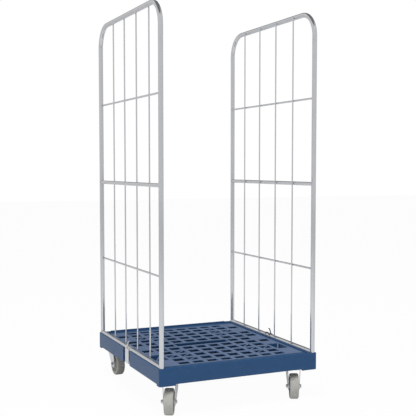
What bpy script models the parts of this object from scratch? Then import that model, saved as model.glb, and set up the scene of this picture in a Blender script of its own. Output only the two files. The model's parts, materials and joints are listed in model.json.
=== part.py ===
import math

import bmesh
import bpy
from mathutils import Matrix, Vector

# Metres, +Z up, origin on the floor under the middle of the base.

# Overall sizes
base_width = 0.720
base_depth = 0.810
overall_height = 1.650
seat_gap = 0.0003
running_gap = 0.0005
cut_overrun = 0.004
quarter_turn = math.radians(90.0)
smooth_limit = math.radians(35.0)
hexagon = 6

# Caster stack, from the floor up
wheel_diameter = 0.108
wheel_width = 0.038
wheel_to_crown_clearance = 0.0152
crown_thickness = 0.0035
race_height = 0.0032
cup_height = 0.0045
caster_plate_thickness = 0.003
caster_height = (
    wheel_diameter
    + wheel_to_crown_clearance
    + crown_thickness
    + seat_gap
    + race_height
    + seat_gap
    + cup_height
    + caster_plate_thickness
)

# Base moulding
pad_to_deck_height = 0.0615
skirt_height = 0.066
corner_radius = 0.008
top_edge_radius = 0.003
skirt_wall = 0.005
rim_wall = 0.010
deck_skin = 0.005
rib_thickness = 0.004
foot_drop = 0.006
foot_size_x = 0.070
foot_size_y = 0.032
deck_level = caster_height + pad_to_deck_height
skirt_bottom = deck_level - skirt_height
foot_bottom = skirt_bottom - foot_drop
half_width = base_width / 2
half_depth = base_depth / 2

# Shallow tray in the top face, which the cells lie in
tray_drop = 0.0045
tray_rim_side = 0.0335
tray_rim_front = 0.013
tray_rim_back = 0.0065
grid_level = deck_level - tray_drop
tray_half_x = half_width - tray_rim_side
tray_front = -half_depth + tray_rim_front
tray_back = half_depth - tray_rim_back

# Back lip
lip_height = 0.0020
lip_thickness = 0.011
lip_end_inset = 0.057
lip_back_inset = 0.0005

# Side panel tubes and wires
frame_diameter = 0.020
frame_wall = 0.0015
frame_bend_radius = 0.100
rail_diameter = 0.016
rail_wall = 0.0012
rod_diameter = 0.008
wire_diameter = 0.006
post_inset_x = 0.015
post_inset_y = 0.013
bar_rise = 0.0005
wire_bottom_lift = 0.0062
wires_per_panel = 4
wire_pitch = 0.155
bays_per_panel = 4
frame_radius = frame_diameter / 2
rail_radius = rail_diameter / 2
rod_radius = rod_diameter / 2
wire_radius = wire_diameter / 2
post_x = half_width - post_inset_x
post_y = half_depth - post_inset_y
bar_level = deck_level + bar_rise
frame_top_level = overall_height - frame_radius
bay_height = (frame_top_level - bar_level) / bays_per_panel
wire_offset = rail_radius + seat_gap + wire_radius
rod_offset = wire_offset - wire_radius - seat_gap - rod_radius

# Corner sockets and bar channels
socket_clearance = 0.0004
socket_floor_height = 0.012
channel_clearance = 0.0008
socket_radius = frame_radius + socket_clearance
socket_floor = skirt_bottom + socket_floor_height
post_bottom = socket_floor + seat_gap
channel_half = frame_radius + channel_clearance
channel_floor = bar_level - frame_radius - running_gap

# Cell grid of the deck
cell_columns = 10
cell_rows_full = 9
end_row_share = 0.85
side_land = 0.0182
end_land = 0.053
band_x = 0.0170
band_y = 0.0225
grid_half_x = post_x - channel_half - side_land
grid_half_y = half_depth - end_land
cell_pitch_x = 2 * grid_half_x / cell_columns
cell_pitch_y = 2 * grid_half_y / (cell_rows_full + 2 * end_row_share)
end_cell_pitch = cell_pitch_y * end_row_share
hole_x = cell_pitch_x - band_x
hole_y = cell_pitch_y - band_y
end_hole_y = end_cell_pitch - band_y
diagonal_rib = 0.006
blind_pocket_depth = 0.012

# One letter per cell, back row first: o open, x open with a diagonal,
# g blind with a diagonal, p plain, r middle recess, d side pocket
cell_map = (
    "poooooooop",
    "ooxoooogoo",
    "pxgooooxgp",
    "ooxoooogoo",
    "oooooooooo",
    "poorrrroop",
    "oooooooooo",
    "dogooooxod",
    "dgxoooogxd",
    "dogooooxod",
    "poooooooop",
)

# Middle recess, side pockets and rim notches
recess_depth = 0.012
recess_half_y = 0.0255
recess_columns = 4
side_pocket_x = 0.056
side_pocket_y = 0.100
side_pocket_depth = 0.010
side_pocket_row = 8
notch_x = 0.026
notch_y = 0.0115
notch_depth = 0.0035
notch_inset = 0.00825

# Caster plates and screws
caster_inset_x = 0.073
front_caster_inset_y = 0.072
back_caster_inset_y = 0.047
caster_plate_x = 0.105
caster_plate_y = 0.080
caster_plate_corner = 0.008
plate_recess_margin = 0.0015
screw_spacing_x = 0.080
screw_spacing_y = 0.060
screw_diameter = 0.008
screw_hole_clearance = 0.0006
screw_head_flats = 0.013
screw_head_height = 0.0055
screw_engagement = 0.020
screw_hole_overrun = 0.003
pad_margin = 0.006
caster_x = half_width - caster_inset_x
front_caster_y = half_depth - front_caster_inset_y
back_caster_y = half_depth - back_caster_inset_y
pad_level = caster_height + seat_gap
plate_bottom = caster_height - caster_plate_thickness

# Swivel head
swivel_trail = 0.034
swivel_angle = math.radians(-26.5)
swivel_splay = math.radians(5.5)
cup_diameter = 0.060
race_diameter = 0.052
kingpin_diameter = 0.012
kingpin_head_diameter = 0.020
kingpin_head_height = 0.003
kingpin_top_diameter = 0.018
kingpin_top_height = 0.0025
kingpin_crown_share = 0.8
kingpin_pocket_margin = 0.004
crown_front = 0.027
crown_back_overhang = 0.006
crown_corner = 0.005
cup_bottom = plate_bottom - cup_height
race_top = cup_bottom - seat_gap
race_bottom = race_top - race_height
crown_top = race_bottom - seat_gap
crown_bottom = crown_top - crown_thickness

# Fork legs
leg_thickness = 0.003
leg_lean = math.radians(2.26)
leg_boss_diameter = 0.024
leg_boss_wall = 0.0062
leg_boss_inset = 0.0012
leg_end_radius = 0.018
leg_arc_start = math.radians(-38.0)
leg_arc_end = math.radians(-193.0)
leg_arc_steps = 8
leg_shoulder_level = 0.097
fixed_trail = 0.0135
fixed_splay = math.radians(3.5)
fixed_leg_front = 0.0385
fixed_leg_back = -0.0150
hub_side_gap = 0.0004

# Wheel
wheel_segments = 24
hub_width = 0.0388
hub_diameter = 0.034
web_thickness = 0.012
rim_inner_diameter = 0.082
rim_draft = 0.0035
tread_flat_share = 0.60
tread_shoulder_share = 0.85
tread_shoulder_drop = 0.0012
tread_edge_drop = 0.0045
wheel_radius = wheel_diameter / 2
wheel_half = wheel_width / 2
hub_half = hub_width / 2
boss_inner = hub_half + hub_side_gap
boss_outer = boss_inner + leg_boss_wall
leg_axle_half_spacing = boss_outer - leg_boss_inset

# Axle bolt and nut
axle_diameter = 0.008
axle_clearance = 0.0003
axle_head_flats = 0.013
axle_head_height = 0.0055
axle_nut_height = 0.0065
axle_end_overrun = 0.0015
axle_radius = axle_diameter / 2
axle_level = wheel_radius

# Panel latches
latch_width = 0.046
latch_lug_width = 0.010
latch_tab_width = 0.030
latch_tongue_width = 0.008
latch_sheet = 0.0025
latch_tongue_rise = 0.0335
latch_tongue_lean = 0.0070
latch_tongue_knee = 0.008
latch_tip_length = 0.005
latch_tip_rise = 0.0015
latch_wrap_start = math.radians(-8.0)
latch_wrap_end = math.radians(212.0)
latch_bottom_clearance = 0.0025
latch_tab_reach = 0.0080
latch_bore_radius = frame_radius + seat_gap
latch_outer_radius = latch_bore_radius + latch_sheet
latch_bottom = skirt_bottom + latch_bottom_clearance
latch_tab_end = latch_bore_radius - latch_tab_reach

# Latch bays in the skirts
bay_side_margin = 0.019
bay_inner_clearance = 0.0025
ledge_end_clearance = 0.0006
ledge_drop_clearance = 0.0025
ledge_thickness = 0.006
bay_half_y = latch_width / 2 + bay_side_margin
bay_inner_x = post_x - latch_outer_radius - bay_inner_clearance
ledge_end_x = post_x + latch_tab_end - ledge_end_clearance
ledge_bottom = latch_bottom + latch_sheet + ledge_drop_clearance
ledge_top = ledge_bottom + ledge_thickness

# Facets
frame_bevel_resolution = 4
rail_bevel_resolution = 4
rod_bevel_resolution = 3
wire_bevel_resolution = 2
frame_bend_steps = 6
frame_sides = 12
boss_sides = 12
socket_sides = 20
small_sides = 12
screw_sides = 8
cup_sides = 24
latch_arc_steps = 12
corner_steps = 3
top_edge_steps = 2
merge_distance = 0.00001

# Looks
blue_plastic = (0.038, 0.085, 0.180)
zinc_steel = (0.560, 0.570, 0.590)
bright_steel = (0.640, 0.650, 0.660)
wheel_grey = (0.440, 0.440, 0.390)


def clear_scene():
    for item in list(bpy.data.objects):
        bpy.data.objects.remove(item, do_unlink=True)


def new_collection(name):
    group = bpy.data.collections.new(name)
    bpy.context.scene.collection.children.link(group)
    return group


def make_material(name, colour, roughness, metallic):
    material = bpy.data.materials.new(name)
    material.use_nodes = True
    shader = material.node_tree.nodes["Principled BSDF"]
    shader.inputs["Base Color"].default_value = (colour[0], colour[1], colour[2], 1.0)
    shader.inputs["Roughness"].default_value = roughness
    shader.inputs["Metallic"].default_value = metallic
    return material


def object_from_bmesh(name, bm, group):
    mesh = bpy.data.meshes.new(name)
    bm.to_mesh(mesh)
    bm.free()
    item = bpy.data.objects.new(name, mesh)
    group.objects.link(item)
    return item


def finish(item, colour, roughness, metallic, smooth=True):
    item.data.materials.clear()
    item.data.materials.append(make_material(item.name + "_finish", colour, roughness, metallic))
    if smooth:
        item.data.shade_smooth()
        item.data.set_sharp_from_angle(angle=smooth_limit)
    return item


def add_box(bm, low, high):
    size = Vector(high) - Vector(low)
    middle = (Vector(high) + Vector(low)) / 2
    matrix = Matrix.Translation(middle) @ Matrix.Diagonal((size.x, size.y, size.z, 1.0))
    return bmesh.ops.create_cube(bm, size=1.0, matrix=matrix)["verts"]


def add_cylinder(bm, centre, radius, low, high, sides, axis="Z"):
    turn = Matrix.Identity(4)
    if axis == "X":
        turn = Matrix.Rotation(quarter_turn, 4, "Y")
    if axis == "Y":
        turn = Matrix.Rotation(-quarter_turn, 4, "X")
    shift = Matrix.Translation((0.0, 0.0, (low + high) / 2))
    matrix = Matrix.Translation(centre) @ turn @ shift
    bmesh.ops.create_cone(
        bm,
        cap_ends=True,
        cap_tris=False,
        segments=sides,
        radius1=radius,
        radius2=radius,
        depth=high - low,
        matrix=matrix,
    )


def bevel_edges(bm, width, segments, test):
    edges = [edge for edge in bm.edges if test(edge)]
    bmesh.ops.bevel(
        bm,
        geom=edges,
        offset=width,
        offset_type="OFFSET",
        segments=segments,
        profile=0.5,
        affect="EDGES",
        clamp_overlap=True,
    )


def is_upright(edge):
    line = edge.verts[1].co - edge.verts[0].co
    return abs(line.z) > abs(line.x) + abs(line.y)


def add_prism(bm, points, low, high):
    # Straight prism over a flat outline in X and Y
    ring = [bm.verts.new((x, y, low)) for x, y in points]
    face = bm.faces.new(ring)
    bmesh.ops.recalc_face_normals(bm, faces=[face])
    if face.normal.z > 0:
        face.normal_flip()
    made = bmesh.ops.extrude_face_region(bm, geom=[face], use_keep_orig=True)
    moved = [part for part in made["geom"] if isinstance(part, bmesh.types.BMVert)]
    bmesh.ops.translate(bm, vec=(0.0, 0.0, high - low), verts=moved)
    bmesh.ops.recalc_face_normals(bm, faces=bm.faces)


def keep_shape(item, cutters):
    item.hide_render = True
    item.display_type = "WIRE"
    for group in item.users_collection:
        group.objects.unlink(item)
    cutters.objects.link(item)
    return item


def boolean(item, other, operation):
    modifier = item.modifiers.new(operation.lower() + "_" + other.name, "BOOLEAN")
    modifier.operation = operation
    modifier.solver = "EXACT"
    modifier.object = other
    return modifier


def evaluated_copy(item, name, group):
    depsgraph = bpy.context.evaluated_depsgraph_get()
    evaluated = item.evaluated_get(depsgraph)
    mesh = bpy.data.meshes.new_from_object(evaluated)
    copy = bpy.data.objects.new(name, mesh)
    group.objects.link(copy)
    copy.matrix_world = item.matrix_world.copy()
    return copy


def weld(mesh):
    bm = bmesh.new()
    bm.from_mesh(mesh)
    bmesh.ops.remove_doubles(bm, verts=bm.verts, dist=merge_distance)
    bmesh.ops.recalc_face_normals(bm, faces=bm.faces)
    bm.to_mesh(mesh)
    bm.free()


def curve_to_mesh(curve_item, group):
    name = curve_item.name
    curve_item.name = name + "_curve"
    bpy.context.view_layer.update()
    mesh_item = evaluated_copy(curve_item, name, group)
    weld(mesh_item.data)
    curve_data = curve_item.data
    bpy.data.objects.remove(curve_item, do_unlink=True)
    bpy.data.curves.remove(curve_data)
    return mesh_item


def tube_path(name, points, radius, resolution, group, capped):
    curve = bpy.data.curves.new(name + "_path", "CURVE")
    curve.dimensions = "3D"
    curve.bevel_depth = radius
    curve.bevel_resolution = resolution
    curve.use_fill_caps = capped
    spline = curve.splines.new("POLY")
    spline.points.add(len(points) - 1)
    for point, place in zip(spline.points, points):
        point.co = (place[0], place[1], place[2], 1.0)
    item = bpy.data.objects.new(name, curve)
    group.objects.link(item)
    return curve_to_mesh(item, group)


def flat_outline(name, points, thickness, group):
    # Flat outline in its own X and Y, with half the thickness each way along Z
    curve = bpy.data.curves.new(name + "_outline", "CURVE")
    curve.dimensions = "2D"
    curve.fill_mode = "BOTH"
    curve.extrude = thickness / 2
    spline = curve.splines.new("POLY")
    spline.points.add(len(points) - 1)
    for point, place in zip(spline.points, points):
        point.co = (place[0], place[1], 0.0, 1.0)
    spline.use_cyclic_u = True
    item = bpy.data.objects.new(name, curve)
    group.objects.link(item)
    return curve_to_mesh(item, group)


def hollow(item, wall):
    modifier = item.modifiers.new("wall", "SOLIDIFY")
    modifier.thickness = wall
    modifier.offset = -1.0
    modifier.use_even_offset = True
    return modifier


def turned(name, profile, steps, group):
    # Closed profile of radius and height pairs, down the outer side first
    bm = bmesh.new()
    ring = [bm.verts.new((radius, 0.0, height)) for radius, height in profile]
    for first, second in zip(ring, ring[1:] + ring[:1]):
        bm.edges.new((first, second))
    item = object_from_bmesh(name, bm, group)
    modifier = item.modifiers.new("turn", "SCREW")
    modifier.axis = "Z"
    modifier.steps = steps
    modifier.render_steps = steps
    modifier.use_merge_vertices = True
    modifier.merge_threshold = merge_distance
    modifier.use_smooth_shade = True
    return item


def arc(centre, radius, start, end, steps):
    points = []
    for step in range(steps + 1):
        angle = start + (end - start) * step / steps
        points.append((centre[0] + radius * math.cos(angle), centre[1] + radius * math.sin(angle)))
    return points


def circumscribed(radius, sides):
    return radius / math.cos(math.pi / sides)


def column_x(column):
    return (column - (cell_columns - 1) / 2) * cell_pitch_x


def row_place(row):
    # Middle of a row and its length along Y, with short rows at both ends
    last = cell_rows_full + 1
    if row in (0, last):
        side = 1 if row == 0 else -1
        middle = side * (grid_half_y - end_cell_pitch / 2)
        return middle, end_cell_pitch
    middle = (last / 2 - row) * cell_pitch_y
    return middle, cell_pitch_y


def diagonal_triangles(middle_x, middle_y, size_x, size_y):
    # The two triangles beside a rib that runs from one corner to the other
    half_x = size_x / 2
    half_y = size_y / 2
    slope = math.hypot(size_x, size_y)
    step_x = diagonal_rib / 2 * slope / size_y
    step_y = diagonal_rib / 2 * slope / size_x
    upper = [
        (middle_x - half_x, middle_y - half_y + step_y),
        (middle_x - half_x, middle_y + half_y),
        (middle_x + half_x - step_x, middle_y + half_y),
    ]
    lower = [
        (middle_x - half_x + step_x, middle_y - half_y),
        (middle_x + half_x, middle_y - half_y),
        (middle_x + half_x, middle_y + half_y - step_y),
    ]
    return upper, lower


def build_deck(parts, cutters):
    bm = bmesh.new()
    add_box(bm, (-half_width, -half_depth, foot_bottom), (half_width, half_depth, deck_level))
    bevel_edges(bm, corner_radius, corner_steps, is_upright)

    def on_top(edge):
        return all(abs(vert.co.z - deck_level) < merge_distance for vert in edge.verts)

    bevel_edges(bm, top_edge_radius, top_edge_steps, on_top)
    deck = object_from_bmesh("deck", bm, parts)

    # Tray that the cells lie in
    bm = bmesh.new()
    add_box(bm, (-tray_half_x, tray_front, grid_level), (tray_half_x, tray_back, deck_level + cut_overrun))
    tray = keep_shape(object_from_bmesh("tray", bm, cutters), cutters)
    boolean(deck, tray, "DIFFERENCE")

    # Lip along the back edge
    bm = bmesh.new()
    lip_end = half_width - lip_end_inset
    lip_back = half_depth - lip_back_inset
    add_box(
        bm,
        (-lip_end, lip_back - lip_thickness, grid_level - deck_skin / 2),
        (lip_end, lip_back, deck_level + lip_height),
    )
    lip = keep_shape(object_from_bmesh("back_lip", bm, cutters), cutters)
    boolean(deck, lip, "UNION")

    # Raised skirt between the corner feet
    bm = bmesh.new()
    reach_x = half_width + cut_overrun
    reach_y = half_depth + cut_overrun
    low = foot_bottom - cut_overrun
    foot_end_y = half_depth - foot_size_y
    add_box(bm, (-reach_x, -foot_end_y, low), (reach_x, foot_end_y, skirt_bottom))
    between_feet_side = keep_shape(object_from_bmesh("between_feet_side", bm, cutters), cutters)
    bm = bmesh.new()
    foot_end_x = half_width - foot_size_x
    add_box(bm, (-foot_end_x, -reach_y, low), (foot_end_x, reach_y, skirt_bottom))
    between_feet_end = keep_shape(object_from_bmesh("between_feet_end", bm, cutters), cutters)

    # Hollows under the deck, one for each cell and one for each stretch of rim
    bm = bmesh.new()
    rib_half = rib_thickness / 2
    skin_bottom = grid_level - deck_skin
    roof = {
        "o": skin_bottom,
        "x": skin_bottom,
        "p": skin_bottom,
        "g": skin_bottom - blind_pocket_depth,
        "r": skin_bottom - recess_depth,
        "d": skin_bottom - side_pocket_depth,
    }
    half_cell_x = cell_pitch_x / 2 - rib_half
    for row, letters in enumerate(cell_map):
        middle_y, length = row_place(row)
        half_cell_y = length / 2 - rib_half
        for column, letter in enumerate(letters):
            middle_x = column_x(column)
            add_box(
                bm,
                (middle_x - half_cell_x, middle_y - half_cell_y, low),
                (middle_x + half_cell_x, middle_y + half_cell_y, roof[letter]),
            )
        for side in (-1, 1):
            inner = side * (grid_half_x + rib_half)
            outer = side * (half_width - skirt_wall)
            add_box(
                bm,
                (min(inner, outer), middle_y - half_cell_y, low),
                (max(inner, outer), middle_y + half_cell_y, channel_floor - deck_skin),
            )
    for column in range(cell_columns):
        middle_x = column_x(column)
        for side in (-1, 1):
            inner = side * (grid_half_y + rib_half)
            outer = side * (half_depth - rim_wall)
            add_box(
                bm,
                (middle_x - half_cell_x, min(inner, outer), low),
                (middle_x + half_cell_x, max(inner, outer), skin_bottom),
            )
    hollows = keep_shape(object_from_bmesh("hollows", bm, cutters), cutters)

    # Solid places that the hollows leave: caster pads and latch bays
    bm = bmesh.new()
    pad_half_x = caster_plate_x / 2 + pad_margin
    pad_half_y = caster_plate_y / 2 + pad_margin
    above = deck_level + lip_height + cut_overrun
    for side_x in (-1, 1):
        for side_y in (-1, 1):
            x = side_x * caster_x
            y = back_caster_y if side_y > 0 else -front_caster_y
            add_box(
                bm,
                (x - pad_half_x, y - pad_half_y, low - cut_overrun),
                (x + pad_half_x, y + pad_half_y, above),
            )
        inner = side_x * (grid_half_x + rib_half / 2)
        outer = side_x * reach_x
        add_box(
            bm,
            (min(inner, outer), -bay_half_y - skirt_wall, low - cut_overrun),
            (max(inner, outer), bay_half_y + skirt_wall, above),
        )
    solid_places = keep_shape(object_from_bmesh("solid_places", bm, cutters), cutters)
    boolean(hollows, solid_places, "DIFFERENCE")

    # Openings in the deck skin
    bm = bmesh.new()
    for row, letters in enumerate(cell_map):
        middle_y, length = row_place(row)
        opening_y = length - band_y
        for column, letter in enumerate(letters):
            middle_x = column_x(column)
            if letter == "o":
                add_box(
                    bm,
                    (middle_x - hole_x / 2, middle_y - opening_y / 2, skin_bottom - cut_overrun),
                    (middle_x + hole_x / 2, middle_y + opening_y / 2, deck_level + cut_overrun),
                )
            if letter in ("x", "g"):
                floor = skin_bottom - cut_overrun
                if letter == "g":
                    floor = grid_level - blind_pocket_depth
                for triangle in diagonal_triangles(middle_x, middle_y, hole_x, opening_y):
                    add_prism(bm, triangle, floor, deck_level + cut_overrun)
    openings = keep_shape(object_from_bmesh("openings", bm, cutters), cutters)

    # Middle recess, side pockets and rim notches
    bm = bmesh.new()
    recess_half_x = recess_columns * cell_pitch_x / 2
    ceiling = deck_level + cut_overrun
    add_box(
        bm,
        (-recess_half_x, -recess_half_y, grid_level - recess_depth),
        (recess_half_x, recess_half_y, ceiling),
    )
    pocket_y = row_place(side_pocket_row)[0]
    for side in (-1, 1):
        x = side * -column_x(0)
        for triangle in diagonal_triangles(x, pocket_y, side_pocket_x, side_pocket_y):
            add_prism(bm, triangle, grid_level - side_pocket_depth, ceiling)
    for column in range(cell_columns - 1):
        x = column_x(column) + cell_pitch_x / 2
        y = -half_depth + notch_inset
        add_box(
            bm,
            (x - notch_x / 2, y - notch_y / 2, deck_level - notch_depth),
            (x + notch_x / 2, y + notch_y / 2, ceiling),
        )
    shallow_cuts = keep_shape(object_from_bmesh("shallow_cuts", bm, cutters), cutters)

    # Channels for the bottom bars
    bm = bmesh.new()
    for side in (-1, 1):
        x = side * post_x
        add_box(bm, (x - channel_half, -post_y, channel_floor), (x + channel_half, post_y, ceiling))
    channels = keep_shape(object_from_bmesh("bar_channels", bm, cutters), cutters)

    # Corner sockets
    bm = bmesh.new()
    radius = circumscribed(socket_radius, socket_sides)
    for side_x in (-1, 1):
        for side_y in (-1, 1):
            place = (side_x * post_x, side_y * post_y, 0.0)
            add_cylinder(bm, place, radius, socket_floor, ceiling, socket_sides)
    sockets = keep_shape(object_from_bmesh("sockets", bm, cutters), cutters)

    # Latch bays, with the catch ledge left standing inside
    bay_cuts = []
    for name, inner_x, floor, roof_level in (
        ("bay_upper", bay_inner_x, ledge_top, ceiling),
        ("bay_lower", bay_inner_x, low, ledge_bottom),
        ("bay_front", ledge_end_x, low - cut_overrun, ceiling + cut_overrun),
    ):
        bm = bmesh.new()
        for side in (-1, 1):
            near = side * inner_x
            far = side * reach_x
            add_box(bm, (min(near, far), -bay_half_y, floor), (max(near, far), bay_half_y, roof_level))
        bay_cuts.append(keep_shape(object_from_bmesh(name, bm, cutters), cutters))

    # Seats for the caster plates, with screw holes and a pocket for the rivet head
    bm = bmesh.new()
    seat_half_x = caster_plate_x / 2 + plate_recess_margin
    seat_half_y = caster_plate_y / 2 + plate_recess_margin
    rivet_pocket = kingpin_top_diameter / 2 + kingpin_pocket_margin
    rivet_roof = pad_level + kingpin_top_height + kingpin_pocket_margin
    for side_x in (-1, 1):
        for side_y in (-1, 1):
            x = side_x * caster_x
            y = back_caster_y if side_y > 0 else -front_caster_y
            add_box(
                bm,
                (x - seat_half_x, y - seat_half_y, low),
                (x + seat_half_x, y + seat_half_y, pad_level),
            )
    seats = keep_shape(object_from_bmesh("plate_seats", bm, cutters), cutters)
    bm = bmesh.new()
    hole_radius = (screw_diameter + screw_hole_clearance) / 2
    screw_top = caster_height + screw_engagement + screw_hole_overrun
    for side_x in (-1, 1):
        for side_y in (-1, 1):
            x = side_x * caster_x
            y = back_caster_y if side_y > 0 else -front_caster_y
            add_cylinder(bm, (x, y, 0.0), rivet_pocket, pad_level - cut_overrun, rivet_roof, small_sides)
            for place in screw_places(x, y):
                radius = circumscribed(hole_radius, screw_sides)
                add_cylinder(bm, place, radius, pad_level - cut_overrun, screw_top, screw_sides)
    seat_holes = keep_shape(object_from_bmesh("seat_holes", bm, cutters), cutters)

    for cutter in (
        between_feet_side,
        between_feet_end,
        hollows,
        openings,
        shallow_cuts,
        channels,
        sockets,
        bay_cuts[0],
        bay_cuts[1],
        bay_cuts[2],
        seats,
        seat_holes,
    ):
        boolean(deck, cutter, "DIFFERENCE")
    finish(deck, blue_plastic, 0.42, 0.0, smooth=False)
    return deck


def frame_points():
    # Centre line of the bent tube, up one post, over the top and down the other
    points = [(0.0, -post_y, post_bottom)]
    bend_y = post_y - frame_bend_radius
    bend_z = frame_top_level - frame_bend_radius
    for y, z in arc((-bend_y, bend_z), frame_bend_radius, math.pi, math.pi / 2, frame_bend_steps):
        points.append((0.0, y, z))
    for y, z in arc((bend_y, bend_z), frame_bend_radius, math.pi / 2, 0.0, frame_bend_steps):
        points.append((0.0, y, z))
    points.append((0.0, post_y, post_bottom))
    return points


def build_panel(side_name, turn, parts, cutters):
    # Local X points out of the load space
    root = bpy.data.objects.new("panel_" + side_name + "_root", None)
    parts.objects.link(root)
    root.rotation_euler = (0.0, 0.0, turn)
    root.location = (math.cos(turn) * post_x, math.sin(turn) * post_x, 0.0)
    bpy.context.view_layer.update()

    frame = tube_path(
        "panel_" + side_name + "_frame",
        frame_points(),
        frame_radius,
        frame_bevel_resolution,
        parts,
        False,
    )
    hollow(frame, frame_wall)
    frame.parent = root
    finish(frame, zinc_steel, 0.30, 1.0)

    # Round seats at the posts, where the cross pieces are welded on
    bm = bmesh.new()
    radius = circumscribed(frame_radius + seat_gap, frame_sides)
    for side in (-1, 1):
        place = (0.0, side * post_y, 0.0)
        add_cylinder(bm, place, radius, post_bottom, frame_top_level, frame_sides)
    posts = object_from_bmesh("posts_" + side_name, bm, cutters)
    posts.parent = root
    keep_shape(posts, cutters)

    # Round seat under the top tube for the upper ends of the wires
    bm = bmesh.new()
    add_cylinder(bm, (0.0, 0.0, frame_top_level), radius, -post_y, post_y, frame_sides, "Y")
    top_seat = object_from_bmesh("top_seat_" + side_name, bm, cutters)
    top_seat.parent = root
    keep_shape(top_seat, cutters)

    crossings = (
        ("bottom_bar", 0.0, bar_level, frame_radius, frame_bevel_resolution, frame_wall),
        ("lower_rod", rod_offset, bar_level + bay_height, rod_radius, rod_bevel_resolution, 0.0),
        ("middle_rail", 0.0, bar_level + 2 * bay_height, rail_radius, rail_bevel_resolution, rail_wall),
        ("upper_rod", rod_offset, bar_level + 3 * bay_height, rod_radius, rod_bevel_resolution, 0.0),
    )
    for name, offset, level, size, resolution, wall in crossings:
        points = ((-offset, -post_y, level), (-offset, post_y, level))
        piece = tube_path("panel_" + side_name + "_" + name, points, size, resolution, parts, wall == 0.0)
        if wall > 0.0:
            hollow(piece, wall)
        piece.parent = root
        boolean(piece, posts, "DIFFERENCE")
        finish(piece, zinc_steel, 0.30, 1.0)

    for index in range(wires_per_panel):
        y = (index - (wires_per_panel - 1) / 2) * wire_pitch
        points = (
            (-wire_offset, y, bar_level + wire_bottom_lift),
            (-wire_offset, y, frame_top_level),
        )
        name = "panel_" + side_name + "_wire_" + str(index + 1)
        wire = tube_path(name, points, wire_radius, wire_bevel_resolution, parts, True)
        wire.parent = root
        boolean(wire, top_seat, "DIFFERENCE")
        finish(wire, zinc_steel, 0.32, 1.0)
    return root


def build_latch(side_name, root, parts, cutters):
    # Drawn in X and Z about the bar's centre, then stood up
    latch_height = bar_level - latch_bottom
    wrap = arc((0.0, 0.0), latch_outer_radius, latch_wrap_start, latch_wrap_end, latch_arc_steps)
    wrap += arc((0.0, 0.0), latch_bore_radius, latch_wrap_end, latch_wrap_start, latch_arc_steps)
    tip = latch_outer_radius - latch_sheet - latch_tongue_lean
    tongue = (
        (latch_outer_radius, -frame_radius),
        (latch_outer_radius, latch_tongue_knee),
        (latch_outer_radius - latch_tongue_lean, latch_tongue_rise - latch_tip_rise),
        (tip - latch_tip_length, latch_tongue_rise),
        (tip - latch_tip_length, latch_tongue_rise - latch_sheet),
        (tip, latch_tongue_rise - latch_tip_rise - latch_sheet),
        (latch_bore_radius, latch_tongue_knee),
        (latch_bore_radius, -frame_radius),
    )
    shapes = []
    lug_middle = (latch_width - latch_lug_width) / 2
    for name, outline, width, middle in (
        ("lug_front", wrap, latch_lug_width, -lug_middle),
        ("lug_back", wrap, latch_lug_width, lug_middle),
        ("tongue", tongue, latch_tongue_width, 0.0),
    ):
        shape = flat_outline("latch_" + side_name + "_" + name, outline, width, cutters)
        stand = Matrix.Translation((0.0, middle, 0.0)) @ Matrix.Rotation(quarter_turn, 4, "X")
        shape.data.transform(stand)
        shapes.append(shape)
    bm = bmesh.new()
    add_box(
        bm,
        (latch_bore_radius, -latch_width / 2, -latch_height),
        (latch_outer_radius, latch_width / 2, 0.0),
    )
    latch = object_from_bmesh("latch_" + side_name, bm, parts)
    bm = bmesh.new()
    add_box(
        bm,
        (latch_tab_end, -latch_tab_width / 2, -latch_height),
        (latch_outer_radius - latch_sheet / 2, latch_tab_width / 2, -latch_height + latch_sheet),
    )
    shapes.append(object_from_bmesh("latch_" + side_name + "_tab", bm, cutters))
    latch.parent = root
    latch.location = (0.0, 0.0, bar_level)
    for shape in shapes:
        shape.parent = root
        shape.location = (0.0, 0.0, bar_level)
        keep_shape(shape, cutters)
        boolean(latch, shape, "UNION")
    finish(latch, bright_steel, 0.28, 1.0, smooth=False)
    return latch


def leg_outline(front, back, axle_y, top):
    # Drawn with the travel direction along X and height along Y
    points = [(front, top), (front, leg_shoulder_level)]
    points += arc((axle_y, axle_level), leg_end_radius, leg_arc_start, leg_arc_end, leg_arc_steps)
    points += [(back, top)]
    return points


def leg_half_spacing(top):
    # Over the outer faces of the legs, in line with the axle
    return leg_axle_half_spacing + (top - axle_level) * math.tan(leg_lean)


def add_legs(name, fork, outline, top, splay, root, axle_y, parts, cutters):
    # Both legs lean and close in towards the axle, where a round boss stands square
    stand = Matrix.Rotation(quarter_turn, 4, "Z") @ Matrix.Rotation(quarter_turn, 4, "X")
    half_spacing = leg_half_spacing(top)
    made = []
    for side in (-1, 1):
        leg = flat_outline(name + "_leg_" + ("a" if side < 0 else "b"), outline, leg_thickness, cutters)
        drop = Matrix.Translation((0.0, -axle_y, -top))
        turn = Matrix.Rotation(-side * splay, 4, "Z") @ Matrix.Rotation(side * leg_lean, 4, "Y")
        place = Matrix.Translation((side * (half_spacing - leg_thickness / 2), axle_y, top))
        leg.data.transform(place @ turn @ drop @ stand)
        made.append(leg)
        bm = bmesh.new()
        low, high = sorted((side * boss_inner, side * boss_outer))
        add_cylinder(bm, (0.0, axle_y, axle_level), leg_boss_diameter / 2, low, high, boss_sides, "X")
        made.append(object_from_bmesh(name + "_boss_" + ("a" if side < 0 else "b"), bm, cutters))
    for shape in made:
        shape.parent = root
        keep_shape(shape, cutters)
        boolean(fork, shape, "UNION")
    bm = bmesh.new()
    radius = circumscribed(axle_radius + axle_clearance, small_sides)
    reach = half_spacing + cut_overrun
    add_cylinder(bm, (0.0, axle_y, axle_level), radius, -reach, reach, small_sides, "X")
    bore = object_from_bmesh(name + "_axle_bore", bm, cutters)
    bore.parent = root
    keep_shape(bore, cutters)
    boolean(fork, bore, "DIFFERENCE")


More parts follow.
